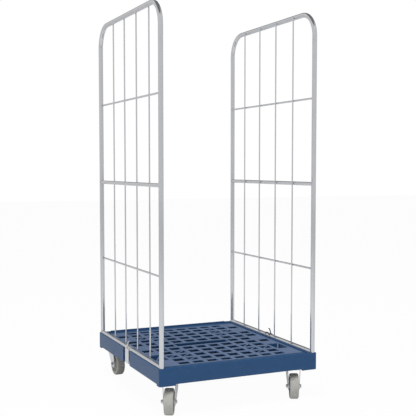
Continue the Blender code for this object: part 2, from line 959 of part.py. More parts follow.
def wheel_profile():
    # Half section over radius and half width, down the outer side first
    flat = wheel_half * tread_flat_share
    shoulder = wheel_radius - tread_shoulder_drop
    edge = wheel_radius - tread_edge_drop
    shoulder_half = wheel_half * tread_shoulder_share
    rim = rim_inner_diameter / 2
    hub = hub_diameter / 2
    web = web_thickness / 2
    bore = axle_radius + axle_clearance
    upper = [
        (bore, hub_half),
        (hub, hub_half),
        (hub + rim_draft, web),
        (rim - rim_draft, web),
        (rim, wheel_half),
        (edge, wheel_half),
        (shoulder, shoulder_half),
        (wheel_radius, flat),
    ]
    lower = [(radius, -height) for radius, height in reversed(upper)]
    return upper + lower


def add_wheel(name, root, axle_y, parts, cutters):
    lay = (0.0, quarter_turn, 0.0)
    place = (0.0, axle_y, axle_level)
    wheel = turned(name + "_wheel", wheel_profile(), wheel_segments, parts)
    wheel.parent = root
    wheel.location = place
    wheel.rotation_euler = lay
    finish(wheel, wheel_grey, 0.55, 0.0)

    # Hexagon bolt through both legs
    head_low = boss_outer + seat_gap
    nut_high = -boss_outer - seat_gap
    shank_end = nut_high - axle_nut_height - axle_end_overrun
    bm = bmesh.new()
    add_cylinder(bm, (0.0, 0.0, 0.0), axle_radius, shank_end, head_low + axle_head_height / 2, small_sides)
    bolt = object_from_bmesh(name + "_axle_bolt", bm, parts)
    bm = bmesh.new()
    head_radius = circumscribed(axle_head_flats / 2, hexagon)
    add_cylinder(bm, (0.0, 0.0, 0.0), head_radius, head_low, head_low + axle_head_height, hexagon)
    head = object_from_bmesh(name + "_axle_head", bm, parts)
    bm = bmesh.new()
    add_cylinder(bm, (0.0, 0.0, 0.0), head_radius, nut_high - axle_nut_height, nut_high, hexagon)
    nut = object_from_bmesh(name + "_axle_nut", bm, parts)
    bm = bmesh.new()
    nut_bore = circumscribed(axle_radius + axle_clearance, small_sides)
    add_cylinder(
        bm,
        (0.0, 0.0, 0.0),
        nut_bore,
        nut_high - axle_nut_height - cut_overrun,
        nut_high + cut_overrun,
        small_sides,
    )
    thread = object_from_bmesh(name + "_nut_thread", bm, parts)
    for item in (bolt, head, nut, thread):
        item.parent = root
        item.location = place
        item.rotation_euler = lay
    keep_shape(head, cutters)
    keep_shape(thread, cutters)
    boolean(bolt, head, "UNION")
    boolean(nut, thread, "DIFFERENCE")
    finish(bolt, zinc_steel, 0.40, 1.0, smooth=False)
    finish(nut, zinc_steel, 0.40, 1.0, smooth=False)


def screw_places(x, y):
    places = []
    for side_y in (-1, 1):
        for side_x in (-1, 1):
            places.append((x + side_x * screw_spacing_x / 2, y + side_y * screw_spacing_y / 2, 0.0))
    return places


def screw_mesh(cutters):
    # Hexagon screw up through the plate into the pad, about its own axis
    head_top = plate_bottom - seat_gap
    bm = bmesh.new()
    add_cylinder(
        bm,
        (0.0, 0.0, 0.0),
        circumscribed(screw_head_flats / 2, hexagon),
        head_top - screw_head_height,
        head_top,
        hexagon,
    )
    head = object_from_bmesh("screw_head", bm, cutters)
    bm = bmesh.new()
    add_cylinder(
        bm,
        (0.0, 0.0, 0.0),
        screw_diameter / 2,
        head_top - screw_head_height / 2,
        caster_height + screw_engagement,
        screw_sides,
    )
    shank = keep_shape(object_from_bmesh("screw_shank", bm, cutters), cutters)
    boolean(head, shank, "UNION")
    bpy.context.view_layer.update()
    whole = keep_shape(evaluated_copy(head, "screw_whole", cutters), cutters)
    keep_shape(head, cutters)
    whole.data.materials.append(make_material("screw_finish", zinc_steel, 0.42, 1.0))
    return whole.data


def add_screws(name, x, y, mesh, parts):
    for index, place in enumerate(screw_places(x, y)):
        screw = bpy.data.objects.new(name + "_screw_" + str(index + 1), mesh)
        parts.objects.link(screw)
        screw.location = place


def plate_body(name, x, y, parts):
    bm = bmesh.new()
    add_box(
        bm,
        (x - caster_plate_x / 2, y - caster_plate_y / 2, plate_bottom),
        (x + caster_plate_x / 2, y + caster_plate_y / 2, caster_height),
    )
    bevel_edges(bm, caster_plate_corner, corner_steps, is_upright)
    return object_from_bmesh(name, bm, parts)


def screw_holes(name, x, y, cutters):
    bm = bmesh.new()
    radius = circumscribed((screw_diameter + screw_hole_clearance) / 2, screw_sides)
    for place in screw_places(x, y):
        add_cylinder(
            bm,
            place,
            radius,
            plate_bottom - cut_overrun,
            caster_height + cut_overrun,
            screw_sides,
        )
    return keep_shape(object_from_bmesh(name, bm, cutters), cutters)


def build_swivel_caster(name, x, y, mesh, parts, cutters):
    # Fixed plate with its turned cup
    plate = plate_body(name + "_plate", x, y, parts)
    bm = bmesh.new()
    add_cylinder(
        bm,
        (x, y, 0.0),
        cup_diameter / 2,
        cup_bottom,
        plate_bottom + caster_plate_thickness / 2,
        cup_sides,
    )
    cup = keep_shape(object_from_bmesh(name + "_cup", bm, cutters), cutters)
    boolean(plate, cup, "UNION")
    bm = bmesh.new()
    pin_bore = kingpin_diameter / 2 + seat_gap
    radius = circumscribed(pin_bore, small_sides)
    add_cylinder(
        bm,
        (x, y, 0.0),
        radius,
        crown_bottom - cut_overrun,
        caster_height + cut_overrun,
        small_sides,
    )
    pin_hole = keep_shape(object_from_bmesh(name + "_pin_hole", bm, cutters), cutters)
    boolean(plate, pin_hole, "DIFFERENCE")
    boolean(plate, screw_holes(name + "_screw_holes", x, y, cutters), "DIFFERENCE")
    finish(plate, zinc_steel, 0.38, 1.0, smooth=False)

    # Riveted king pin
    pin = kingpin_diameter / 2
    lower_head = kingpin_head_diameter / 2
    upper_head = kingpin_top_diameter / 2
    pin_profile = (
        (0.0, caster_height + seat_gap + kingpin_top_height),
        (upper_head * kingpin_crown_share, caster_height + seat_gap + kingpin_top_height),
        (upper_head, caster_height + seat_gap),
        (pin, caster_height + seat_gap),
        (pin, crown_bottom - seat_gap),
        (lower_head, crown_bottom - seat_gap),
        (lower_head * kingpin_crown_share, crown_bottom - seat_gap - kingpin_head_height),
        (0.0, crown_bottom - seat_gap - kingpin_head_height),
    )
    bm = bmesh.new()
    ring = [bm.verts.new((across, 0.0, height)) for across, height in pin_profile]
    for first, second in zip(ring, ring[1:]):
        bm.edges.new((first, second))
    kingpin = object_from_bmesh(name + "_kingpin", bm, parts)
    modifier = kingpin.modifiers.new("turn", "SCREW")
    modifier.axis = "Z"
    modifier.steps = small_sides
    modifier.render_steps = small_sides
    modifier.use_merge_vertices = True
    modifier.merge_threshold = merge_distance
    kingpin.location = (x, y, 0.0)
    finish(kingpin, bright_steel, 0.35, 1.0)

    # Everything below turns with the fork
    root = bpy.data.objects.new(name + "_swivel_root", None)
    parts.objects.link(root)
    root.location = (x, y, 0.0)
    root.rotation_euler = (0.0, 0.0, swivel_angle)

    race_profile = (
        (pin_bore, race_top),
        (race_diameter / 2, race_top),
        (race_diameter / 2, race_bottom),
        (pin_bore, race_bottom),
    )
    race = turned(name + "_race", race_profile, cup_sides, parts)
    race.parent = root
    finish(race, bright_steel, 0.30, 1.0)

    # Crown, wider at its front than at its back
    bm = bmesh.new()
    top = crown_bottom + crown_thickness / 2
    crown_half = leg_half_spacing(top)
    crown_back = -swivel_trail - crown_back_overhang
    add_box(bm, (-crown_half, crown_back, crown_bottom), (crown_half, crown_front, crown_top))
    bevel_edges(bm, crown_corner, corner_steps, is_upright)
    for vert in bm.verts:
        widening = (vert.co.y + swivel_trail) * math.tan(swivel_splay)
        vert.co.x += math.copysign(widening, vert.co.x)
    fork = object_from_bmesh(name + "_fork", bm, parts)
    fork.parent = root
    outline = leg_outline(crown_front - crown_corner, crown_back + crown_corner, -swivel_trail, top)
    add_legs(name, fork, outline, top, swivel_splay, root, -swivel_trail, parts, cutters)
    boolean(fork, pin_hole, "DIFFERENCE")
    finish(fork, zinc_steel, 0.36, 1.0, smooth=False)

    add_wheel(name, root, -swivel_trail, parts, cutters)
    add_screws(name, x, y, mesh, parts)


def build_fixed_caster(name, x, y, mesh, parts, cutters):
    root = bpy.data.objects.new(name + "_root", None)
    parts.objects.link(root)
    root.location = (x, y, 0.0)
    fork = plate_body(name + "_fork", 0.0, 0.0, parts)
    fork.parent = root
    top = caster_height - caster_plate_thickness / 2
    outline = leg_outline(fixed_leg_front, fixed_leg_back, -fixed_trail, top)
    add_legs(name, fork, outline, top, fixed_splay, root, -fixed_trail, parts, cutters)
    holes = screw_holes(name + "_screw_holes", x, y, cutters)
    boolean(fork, holes, "DIFFERENCE")
    finish(fork, zinc_steel, 0.36, 1.0, smooth=False)

    add_wheel(name, root, -fixed_trail, parts, cutters)
    add_screws(name, x, y, mesh, parts)


def main():
    clear_scene()
    parts = new_collection("roll_container")
    cutters = new_collection("cutters")
    build_deck(parts, cutters)
    for side_name, turn in (("right", 0.0), ("left", math.pi)):
        root = build_panel(side_name, turn, parts, cutters)
        build_latch(side_name, root, parts, cutters)
    mesh = screw_mesh(cutters)
    for side_name, side in (("left", -1), ("right", 1)):
        build_swivel_caster("caster_front_" + side_name, side * caster_x, -front_caster_y, mesh, parts, cutters)
        build_fixed_caster("caster_back_" + side_name, side * caster_x, back_caster_y, mesh, parts, cutters)
    bpy.context.view_layer.update()


main()
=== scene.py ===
import json
import math

import bmesh
import bpy
from bpy.props import FloatProperty, FloatVectorProperty, IntProperty, PointerProperty
from mathutils import Matrix, Vector


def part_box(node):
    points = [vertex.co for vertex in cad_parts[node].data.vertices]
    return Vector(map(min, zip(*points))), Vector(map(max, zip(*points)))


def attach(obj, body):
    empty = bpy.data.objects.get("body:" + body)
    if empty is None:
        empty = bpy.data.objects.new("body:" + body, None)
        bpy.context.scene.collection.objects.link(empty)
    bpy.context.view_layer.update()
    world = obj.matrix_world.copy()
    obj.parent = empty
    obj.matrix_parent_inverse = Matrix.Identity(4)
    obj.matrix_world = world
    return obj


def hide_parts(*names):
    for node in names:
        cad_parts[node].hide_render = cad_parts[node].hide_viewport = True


bl_info = {
    "name": "Roll Container Looks",
    "version": (1, 0, 0),
    "blender": (4, 5, 0),
    "location": "View3D > Sidebar > Roll Container",
    "description": "Dresses a packed roll container with its plastic, steel and wheel finishes",
    "category": "Object",
}

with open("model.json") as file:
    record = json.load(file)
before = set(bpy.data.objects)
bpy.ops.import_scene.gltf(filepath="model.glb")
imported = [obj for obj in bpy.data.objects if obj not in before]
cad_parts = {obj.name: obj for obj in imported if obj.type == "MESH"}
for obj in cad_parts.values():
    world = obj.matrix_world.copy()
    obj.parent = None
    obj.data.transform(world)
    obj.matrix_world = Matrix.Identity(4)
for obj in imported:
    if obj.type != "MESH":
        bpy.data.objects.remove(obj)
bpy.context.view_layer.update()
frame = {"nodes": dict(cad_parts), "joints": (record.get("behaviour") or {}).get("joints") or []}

JOINTS = {joint["name"]: joint for joint in frame["joints"]}
SIDES = ("left", "right")
ENDS = ("front", "back")
CASTERS = tuple((end, side) for end in ENDS for side in SIDES)
RODS = ("bottom_bar", "lower_rod", "middle_rail", "upper_rod")
WIRES = (1, 2, 3, 4)
SCREWS = (1, 2, 3, 4)

RIGHT_ANGLE = math.radians(90.0)
ACROSS = (1.0, 0.0, 0.0)
UP = (0.0, 0.0, 1.0)
WELD_DISTANCE = 1e-5
PLATE_MARGIN = 1e-4
WHITE = (1.0, 1.0, 1.0, 1.0)
SENSOR_WIDTH = 36.0

# Angles in degrees, of flat faces, rounded edges, creases in the shading and a leg's end

FLAT_ANGLE = 0.5
ROUNDED_ANGLE = 50.0
SLAB_ANGLE = 60.0
DECK_CREASE = 50.0
TUBE_CREASE = 60.0
SHEET_CREASE = 40.0
BEAD_CREASE = 180.0
LEG_CURVE = (-38.0, -193.0)

# Faces along small curves

EDGE_STEPS = 2
CORNER_STEPS = 3
SHOULDER_STEPS = 5
CROWN_STEPS = 6
LEG_STEPS = 18
BOSS_FACES = 40
SHANK_FACES = 24
COLLAR_FACES = 28
BEAD_FACES = 12
SPOT_RINGS = 8

# Shares of a slab's thickness, the grain's scale along a tube, a wire's radius and a spot weld's place

SLAB_ROUND_SHARE = 0.22
DRAWN_SHARE = 0.02
WIRE_END_SHARE = 0.5
SPOT_LIFT_SHARE = 0.4
SPOT_DROP_SHARE = 0.55


# Shader helpers


class Number:
    """A number that varies over a surface, with Python's own operators."""

    def __init__(self, nodes, socket):
        self.nodes = nodes
        self.socket = socket

    def math(self, operation, *values):
        node = self.nodes.add("ShaderNodeMath", {"operation": operation}, dict(enumerate(values)))
        return Number(self.nodes, node.outputs[0])

    def __add__(self, other):
        return self.math("ADD", self, other)

    def __radd__(self, other):
        return self.math("ADD", other, self)

    def __sub__(self, other):
        return self.math("SUBTRACT", self, other)

    def __rsub__(self, other):
        return self.math("SUBTRACT", other, self)

    def __mul__(self, other):
        return self.math("MULTIPLY", self, other)

    def __rmul__(self, other):
        return self.math("MULTIPLY", other, self)

    def __abs__(self):
        return self.math("ABSOLUTE", self)

    def eased(self, start, end, first=0.0, last=1.0):
        """The first value below the start, the last above the end, with a soft step between."""
        settings = {"interpolation_type": "SMOOTHSTEP", "clamp": True}
        sockets = {0: self, 1: start, 2: end, 3: first, 4: last}
        return Number(self.nodes, self.nodes.add("ShaderNodeMapRange", settings, sockets).outputs[0])

    def above(self, edge, softness):
        """0 below the edge, 1 above it, with a soft step between."""
        return self.eased(edge - softness, edge + softness)


class Nodes:
    """The nodes of a material or a world, round one shader."""

    def __init__(self, owner, shader):
        owner.use_nodes = True
        self.tree = owner.node_tree
        self.shader = self.tree.nodes[shader]

    def add(self, kind, settings=None, sockets=None):
        node = self.tree.nodes.new(kind)
        for name, value in (settings or {}).items():
            setattr(node, name, value)
        for key, value in (sockets or {}).items():
            self.feed(node.inputs[key], value)
        return node

    def feed(self, target, value):
        if isinstance(value, Number):
            value = value.socket
        if isinstance(value, bpy.types.NodeSocket):
            self.tree.links.new(value, target)
        else:
            target.default_value = value

    def set(self, name, value):
        self.feed(self.shader.inputs[name], value)

    def end_in(self, output, share, other):
        """Ends the tree in a mix of its shader and a share of another."""
        mix = self.add("ShaderNodeMixShader", {}, {0: share, 1: self.shader.outputs[0], 2: other.outputs[0]})
        self.feed(self.tree.nodes[output].inputs["Surface"], mix.outputs[0])


class Finish(Nodes):
    """One material under construction."""

    def __init__(self, name, roughness, metallic=0.0):
        self.material = bpy.data.materials.new(name)
        super().__init__(self.material, "Principled BSDF")
        self.set("Roughness", roughness)
        self.set("Metallic", metallic)
        self.place = self.add("ShaderNodeTexCoord").outputs["Object"]

    def noise(self, scale, detail=2.0, roughness=0.5, stretch=(1.0, 1.0, 1.0)):
        """Noise over the object, with so many cells to a metre, drawn out where the stretch is low."""
        drawn = self.add("ShaderNodeMapping", {}, {"Vector": self.place, "Scale": stretch})
        sockets = {"Vector": drawn.outputs[0], "Scale": scale, "Detail": detail, "Roughness": roughness}
        return Number(self, self.add("ShaderNodeTexNoise", {}, sockets).outputs[0])

    def axis(self, name):
        split = self.add("ShaderNodeSeparateXYZ", {}, {0: self.place})
        return Number(self, split.outputs[name])

    def mix(self, factor, first, second):
        node = self.add("ShaderNodeMix", {"data_type": "RGBA"}, {0: factor, 6: first, 7: second})
        return node.outputs[2]

    def shades(self, factor, colour, first_share, second_share):
        """Two shades of one colour, mixed by the factor."""
        return self.mix(factor, rgba(colour, first_share), rgba(colour, second_share))

    def bump(self, height, distance, strength):
        sockets = {"Height": height, "Distance": distance, "Strength": strength}
        self.set("Normal", self.add("ShaderNodeBump", {}, sockets).outputs[0])


def rgba(colour, share=1.0):
    return (colour[0] * share, colour[1] * share, colour[2] * share, 1.0)


def moulded_plastic(colours, edges):
    """Matte blue polyethylene, with painted sheen making the rib tops paler and painted shade darkening the
    cells.
    """
    border_fade = 0.002
    rib_depth = 0.0012
    rib_fade = 0.0006
    painted_shade_depth = 0.006
    painted_shade_fade = 0.005
    made = Finish("moulded_blue_plastic", colours.plastic_roughness)
    to_side = edges.cells_x - abs(made.axis("X"))
    to_end = edges.cells_y - abs(made.axis("Y"))
    height = made.axis("Z")
    inside = to_side.above(0.0, border_fade) * to_end.above(0.0, border_fade)
    # Painted sheen: the rib tops are made paler in the base colour
    ribs = inside * height.above(edges.cells_top - rib_depth, rib_fade)
    # Painted shade: the cell walls and floors below the rib tops are darkened in the base colour
    cells = inside * (edges.cells_top - height).above(painted_shade_depth, painted_shade_fade)
    cloud = made.noise(5.0, 3.0)
    speck = made.noise(160.0)
    grain = made.noise(900.0, 1.0)
    marks = made.noise(22.0, 4.0, 0.7, (1.0, 6.0, 2.0)).above(0.66, 0.05)
    dust = made.noise(48.0, 5.0, 0.65).above(0.62, 0.08)
    base = made.shades(cloud, colours.plastic, 0.90, 1.10)
    dusted = made.mix(dust * 0.05, base, rgba(colours.plastic_dust_and_sheen))
    marked = made.mix(marks * 0.10, dusted, rgba(colours.plastic_scuff))
    # Painted sheen on the rib tops, mixed towards the dust colour
    rubbed_and_sheened = made.mix(ribs * (0.55 + 0.20 * cloud), marked, rgba(colours.plastic_dust_and_sheen))
    # Painted shade: the cells are mixed towards a dark blue
    made.set("Base Color", made.mix(cells * 0.85, rubbed_and_sheened, rgba(colours.plastic, 0.35)))
    made.set("Roughness", colours.plastic_roughness + 0.10 * (cloud - 0.5) + 0.10 * marks + 0.06 * speck)
    made.set("Specular IOR Level", 0.30)
    made.set("Sheen Weight", colours.plastic_sheen)
    made.set("Sheen Roughness", 0.35)
    made.set("Sheen Tint", (0.80, 0.90, 1.0, 1.0))
    made.bump(grain + speck * 0.6, distance=0.00006, strength=0.45)
    return made.material


def zinc_plate(name, colours, run):
    """Bright zinc on drawn tube or wire, with faint lines along its run."""
    made = Finish(name, colours.tube_roughness, 0.90)
    lines = made.noise(700.0, 3.0, 0.6, run)
    cloud = made.noise(9.0, 3.0)
    blush = made.noise(2.2)
    stain = made.noise(34.0, 5.0, 0.7).above(0.68, 0.06)
    cool = (colours.tube[0] * 0.985, colours.tube[1], colours.tube[2] * 1.02)
    tinted = made.mix(blush, rgba(cool), rgba(colours.tube, 1.03))
    toned = made.mix(cloud * 0.5, tinted, rgba(colours.tube, 0.88))
    made.set("Base Color", made.mix(stain * 0.22, toned, rgba(colours.tube, 0.55)))
    made.set("Roughness", colours.tube_roughness + 0.05 * (cloud - 0.5) + 0.04 * lines + 0.12 * stain)
    made.bump(lines, distance=0.00002, strength=0.25)
    return made.material


def pressed_steel(colours):
    """Zinc-plated sheet of forks, plates and latches, a little duller than the tubes, with painted shade on
    the tongue of the right latch.
    """
    right_start = 0.20
    right_fade = 0.05
    tongue_foot = 0.206
    tongue_fade = 0.006
    made = Finish("pressed_zinc_sheet", colours.sheet_roughness, 0.80)
    cloud = made.noise(26.0, 4.0)
    fine = made.noise(480.0, 3.0)
    rubbed_and_sheened = made.noise(70.0, 5.0, 0.7, (1.0, 1.0, 0.35)).above(0.60, 0.08)
    # Painted shade: the tongue of the right latch, above the bar, is darkened in the base colour
    right = made.axis("X").above(right_start, right_fade)
    painted_tongue_shade = right * made.axis("Z").above(tongue_foot, tongue_fade)
    toned = made.shades(cloud, colours.sheet, 1.06, 0.84)
    worn = made.mix(rubbed_and_sheened * 0.30, toned, rgba(colours.sheet, 0.60))
    made.set("Base Color", made.mix(painted_tongue_shade * 0.90, worn, rgba(colours.painted_tongue_shade)))
    made.set("Roughness", colours.sheet_roughness + 0.14 * (cloud - 0.5) + 0.12 * rubbed_and_sheened)
    made.bump(fine + cloud * 0.5, distance=0.00003, strength=0.30)
    return made.material


def weld_metal(colours):
    """Plated weld beads with fine ripples."""
    made = Finish("weld_beads", 0.38, 1.0)
    ripple = made.noise(620.0)
    burnt = made.noise(90.0, 3.0)
    made.set("Base Color", made.shades(burnt, colours.tube, 0.92, 0.62))
    made.set("Roughness", 0.30 + 0.22 * burnt)
    made.bump(ripple, distance=0.00018, strength=0.60)
    return made.material


def zinc_fastener(colours):
    """Zinc-plated bolts, nuts and screws, dull in places where a spanner has touched them."""
    made = Finish("zinc_fasteners", 0.20, 1.0)
    rub = made.noise(240.0, 4.0, 0.65).above(0.60, 0.06)
    cloud = made.noise(120.0)
    toned = made.shades(cloud, colours.fastener, 1.05, 0.80)
    made.set("Base Color", made.mix(rub * 0.45, toned, rgba(colours.fastener, 0.45)))
    made.set("Roughness", 0.14 + 0.10 * cloud + 0.12 * rub)
    made.bump(cloud, distance=0.00002, strength=0.20)
    return made.material


def turned_steel(colours):
    """Bright turned steel of king pins and bearing races, with a film of grease."""
    made = Finish("turned_steel", 0.28, 1.0)
    film = made.noise(60.0, 3.0)
    rings = made.noise(500.0, stretch=(0.2, 0.2, 3.0))
    made.set("Base Color", made.mix(film, rgba(colours.tube, 1.05), rgba(colours.grease)))
    made.set("Roughness", 0.20 + 0.24 * film)
    made.bump(rings, distance=0.00002, strength=0.30)
    return made.material


def wheel_plastic(colours):
    """Warm grey wheel, rolled dull and slightly dirty on its tread."""
    made = Finish("warm_grey_wheel", colours.wheel_roughness)
    cloud = made.noise(30.0, 4.0)
    grain = made.noise(600.0)
    grit = made.noise(210.0, 5.0, 0.7).above(0.60, 0.05)
    scratch = made.noise(75.0, 4.0, 0.75, (1.0, 5.0, 5.0)).above(0.64, 0.04)
    base = made.shades(cloud, colours.wheel, 1.06, 0.88)
    dirty = made.mix(grit * 0.16, base, rgba(colours.wheel_dirt))
    made.set("Base Color", made.mix(scratch * 0.12, dirty, rgba(colours.wheel_dirt, 0.8)))
    made.set("Roughness", colours.wheel_roughness + 0.12 * (cloud - 0.5) + 0.08 * grit)
    made.bump(grain + grit * 0.8 + scratch, distance=0.00010, strength=0.5)
    return made.material


# Mesh helpers


def item_from(bm, name, material):
    """Makes an object of the mesh and puts it in the scene."""
    mesh = bpy.data.meshes.new(name)
    bm.to_mesh(mesh)
    bm.free()
    mesh.materials.append(material)
    item = bpy.data.objects.new(name, mesh)
    bpy.context.scene.collection.objects.link(item)
    return item


def piece_from(bm, name, body, material, nodes, crease, flats=False):
    """Makes the finished piece, which rides on a body and stands for its CAD nodes.

    With flats, the shading of a rounded edge doesn't spread over the flat faces beside it.
    """
    item = item_from(bm, name, material)
    item.data.shade_smooth()
    item.data.set_sharp_from_angle(angle=math.radians(crease))
    if flats:
        item.modifiers.new("flat_faces", "WEIGHTED_NORMAL").keep_sharp = True
    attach(item, body)
    if nodes:
        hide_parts(*nodes)
    return item


def rounded_copy(node, width, name, body, material, flats=False):
    """A piece that is its CAD node with rounded edges."""
    bm = copy_of(node)
    round_edges(bm, width)
    piece_from(bm, name, body, material, [node], SHEET_CREASE, flats)


def weld(bm, verts):
    bmesh.ops.remove_doubles(bm, verts=verts, dist=WELD_DISTANCE)


def parts(geom, kind):
    return [part for part in geom if isinstance(part, kind)]


def cut_across(bm, place, normal):
    """Cuts the whole mesh by a plane and gives back what lies on the cut."""
    whole = bm.verts[:] + bm.edges[:] + bm.faces[:]
    made = bmesh.ops.bisect_plane(bm, geom=whole, dist=WELD_DISTANCE, plane_co=place, plane_no=normal)
    return made["geom_cut"]


def copy_of(node, cuts=()):
    """A merged copy of a CAD node with its flat faces joined up again.

    Each cut is an x. It splits the flat faces there, so that a face with
    holes is joined up without a slanting edge to a corner of a hole.
    """
    bm = bmesh.new()
    bm.from_mesh(frame["nodes"][node].data)
    weld(bm, bm.verts)
    for cut in cuts:
        for edge in parts(cut_across(bm, (cut, 0.0, 0.0), ACROSS), bmesh.types.BMEdge):
            edge.seam = True
    flat = math.radians(FLAT_ANGLE)
    bmesh.ops.dissolve_limit(bm, angle_limit=flat, verts=bm.verts, edges=bm.edges, delimit={"SEAM"})
    return bm


def soften(bm, geom, width, segments, affect="EDGES", clamp=True):
    """Rounds edges, or the corners of an outline."""
    bmesh.ops.bevel(
        bm,
        geom=geom,
        offset=width,
        offset_type="OFFSET",
        segments=segments,
        profile=0.5,
        affect=affect,
        clamp_overlap=clamp,
        material=-1,
    )


def turns(edge, degrees):
    return len(edge.link_faces) == 2 and edge.calc_face_angle() > math.radians(degrees)


def round_edges(bm, width, chosen=None):
    """Rounds each sharp edge, or the chosen ones of them."""
    edges = [edge for edge in bm.edges if edge.is_manifold and turns(edge, ROUNDED_ANGLE)]
    if chosen is not None:
        edges = [edge for edge in edges if chosen(edge)]
    soften(bm, edges, width, EDGE_STEPS, clamp=False)
    weld(bm, bm.verts)


def added(bm, before):
    return [vert for vert in bm.verts if vert not in before]


def edges_of(verts):
    return list({edge for vert in verts for edge in vert.link_edges})


def faces_of(verts):
    return list({face for vert in verts for face in vert.link_faces})


def prism(bm, radius, sides, length, matrix):
    """A closed round or many-sided bar along Z, about its middle."""
    made = bmesh.ops.create_cone(
        bm, cap_ends=True, segments=sides, radius1=radius, radius2=radius, depth=length, matrix=matrix
    )
    return made["verts"]


def rod_mesh(bm, start, end, radius, sides, end_round=0.0):
    """A straight round bar from one point to another, with rounded ends if asked."""
    run = end - start
    along = run.normalized()
    turn = run.to_track_quat("Z", "Y").to_matrix().to_4x4()
    middle = Matrix.Translation((start + end) / 2)
    verts = prism(bm, radius, sides, run.length, middle @ turn)
    if end_round > 0.0:
        rims = []
        for edge in edges_of(verts):
            line = edge.verts[1].co - edge.verts[0].co
            if abs(line.dot(along)) < line.length / 2:
                rims.append(edge)
        soften(bm, rims, end_round, CORNER_STEPS)
        for place, facing in ((start, 1.0), (end, -1.0)):
            cut_across(bm, place + along * facing * 2 * end_round, run)


def extend(bm, edges, vector):
    """Carries an open ring of edges on along a vector."""
    made = bmesh.ops.extrude_edge_only(bm, edges=edges)["geom"]
    bmesh.ops.translate(bm, verts=parts(made, bmesh.types.BMVert), vec=vector)
    return parts(made, bmesh.types.BMEdge)


def bend(bm, edges, centre, steps):
    """Carries an open ring of edges round a bend from front to back."""
    ring = list({vert for edge in edges for vert in edge.verts}) + edges
    made = bmesh.ops.spin(bm, geom=ring, cent=centre, axis=ACROSS, angle=-RIGHT_ANGLE, steps=steps)
    return parts(made["geom_last"], bmesh.types.BMEdge)


def lathe(bm, profile, steps, matrix, rounding=0.0, closed=True):
    """Spins a profile of radius and height pairs about Z, its inner corners rounded first."""
    before = set(bm.verts)
    ring = [bm.verts.new((radius, 0.0, height)) for radius, height in profile]
    pairs = list(zip(ring, ring[1:]))
    if closed:
        pairs.append((ring[-1], ring[0]))
    for first, second in pairs:
        bm.edges.new((first, second))
    if rounding > 0.0:
        corners = [vert for vert in ring if len(vert.link_edges) == 2]
        soften(bm, corners, rounding, CORNER_STEPS, "VERTICES")
    fresh = added(bm, before)
    outline = fresh + edges_of(fresh)
    bmesh.ops.spin(bm, geom=outline, axis=UP, angle=4 * RIGHT_ANGLE, steps=steps, use_merge=True)
    weld(bm, added(bm, before))
    turned = added(bm, before)
    bmesh.ops.recalc_face_normals(bm, faces=faces_of(turned))
    bmesh.ops.transform(bm, matrix=matrix, verts=turned)


def hexagon(bm, flats, low, high, chamfer, matrix):
    """A hexagon head along Z with its corners turned off."""
    before = set(bm.verts)
    corner = flats / 2 / math.cos(RIGHT_ANGLE / 3)
    verts = prism(bm, corner, 6, high - low, Matrix.Translation((0.0, 0.0, (low + high) / 2)))
    level = [edge for edge in edges_of(verts) if abs(edge.verts[1].co.z - edge.verts[0].co.z) <= chamfer]
    soften(bm, level, chamfer, EDGE_STEPS)
    bmesh.ops.transform(bm, matrix=matrix, verts=added(bm, before))


def slab(bm, outline, thickness, matrix, eased=None, ease_radius=0.0):
    """A flat plate over an outline in X and Y, half its thickness each way, one corner eased if asked."""
    before = set(bm.verts)
    ring = [bm.verts.new((x, y, -thickness / 2)) for x, y in outline]
    face = bmesh.ops.contextual_create(bm, geom=ring)["faces"][0]
    if eased is not None:
        soften(bm, [ring[eased]], ease_radius, SHOULDER_STEPS, "VERTICES")
        face = faces_of(added(bm, before))[0]
    made = bmesh.ops.extrude_face_region(bm, geom=[face], use_keep_orig=True)["geom"]
    bmesh.ops.translate(bm, verts=parts(made, bmesh.types.BMVert), vec=(0.0, 0.0, thickness))
    fresh = added(bm, before)
    bmesh.ops.recalc_face_normals(bm, faces=faces_of(fresh))
    sharp = [edge for edge in edges_of(fresh) if turns(edge, SLAB_ANGLE)]
    soften(bm, sharp, thickness * SLAB_ROUND_SHARE, EDGE_STEPS)
    bmesh.ops.transform(bm, matrix=matrix, verts=added(bm, before))


def arc(centre, radius, start, end, steps):
    """Points along an arc, from one angle in degrees to another."""
    points = []
    for step in range(steps + 1):
        angle = math.radians(start + (end - start) * step / steps)
        points.append((centre[0] + radius * math.cos(angle), centre[1] + radius * math.sin(angle)))
    return points


# Places that come from the frame


def middle_of(node):
    low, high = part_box(node)
    return (low + high) / 2


class Hoop:
    """The centre line of a side panel's bent tube."""

    def __init__(self, side):
        low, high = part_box(f"panel_{side}_frame")
        self.radius = (high.x - low.x) / 2
        self.x = (low.x + high.x) / 2
        self.y = high.y - self.radius
        self.foot = low.z
        self.top = high.z - self.radius


def rod_of(side, name):
    """The middle and the radius of a level rod or rail."""
    low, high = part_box(f"panel_{side}_{name}")
    return (low + high) / 2, (high.x - low.x) / 2


def wire_of(side, index):
    """The foot, the head and the radius of an upright wire."""
    low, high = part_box(f"panel_{side}_wire_{index}")
    radius = (high.y - low.y) / 2
    x = high.x - radius if side == "left" else low.x + radius
    y = (low.y + high.y) / 2
    return Vector((x, y, low.z)), Vector((x, y, high.z)), radius


def axle_of(end, side):
    """The place and the direction of a wheel's axle."""
    joint = JOINTS[f"wheel_{end}_{side}_spin"]
    return Vector(joint["pos_m"]), Vector(joint["axis"])


def laid_along(place, axis):
    """Lays what stands along Z along an axle."""
    return Matrix.Translation(place) @ axis.to_track_quat("Z", "X").to_matrix().to_4x4()


def fork_body(end, side):
    return "base" if end == "back" else f"swivel_front_{side}"


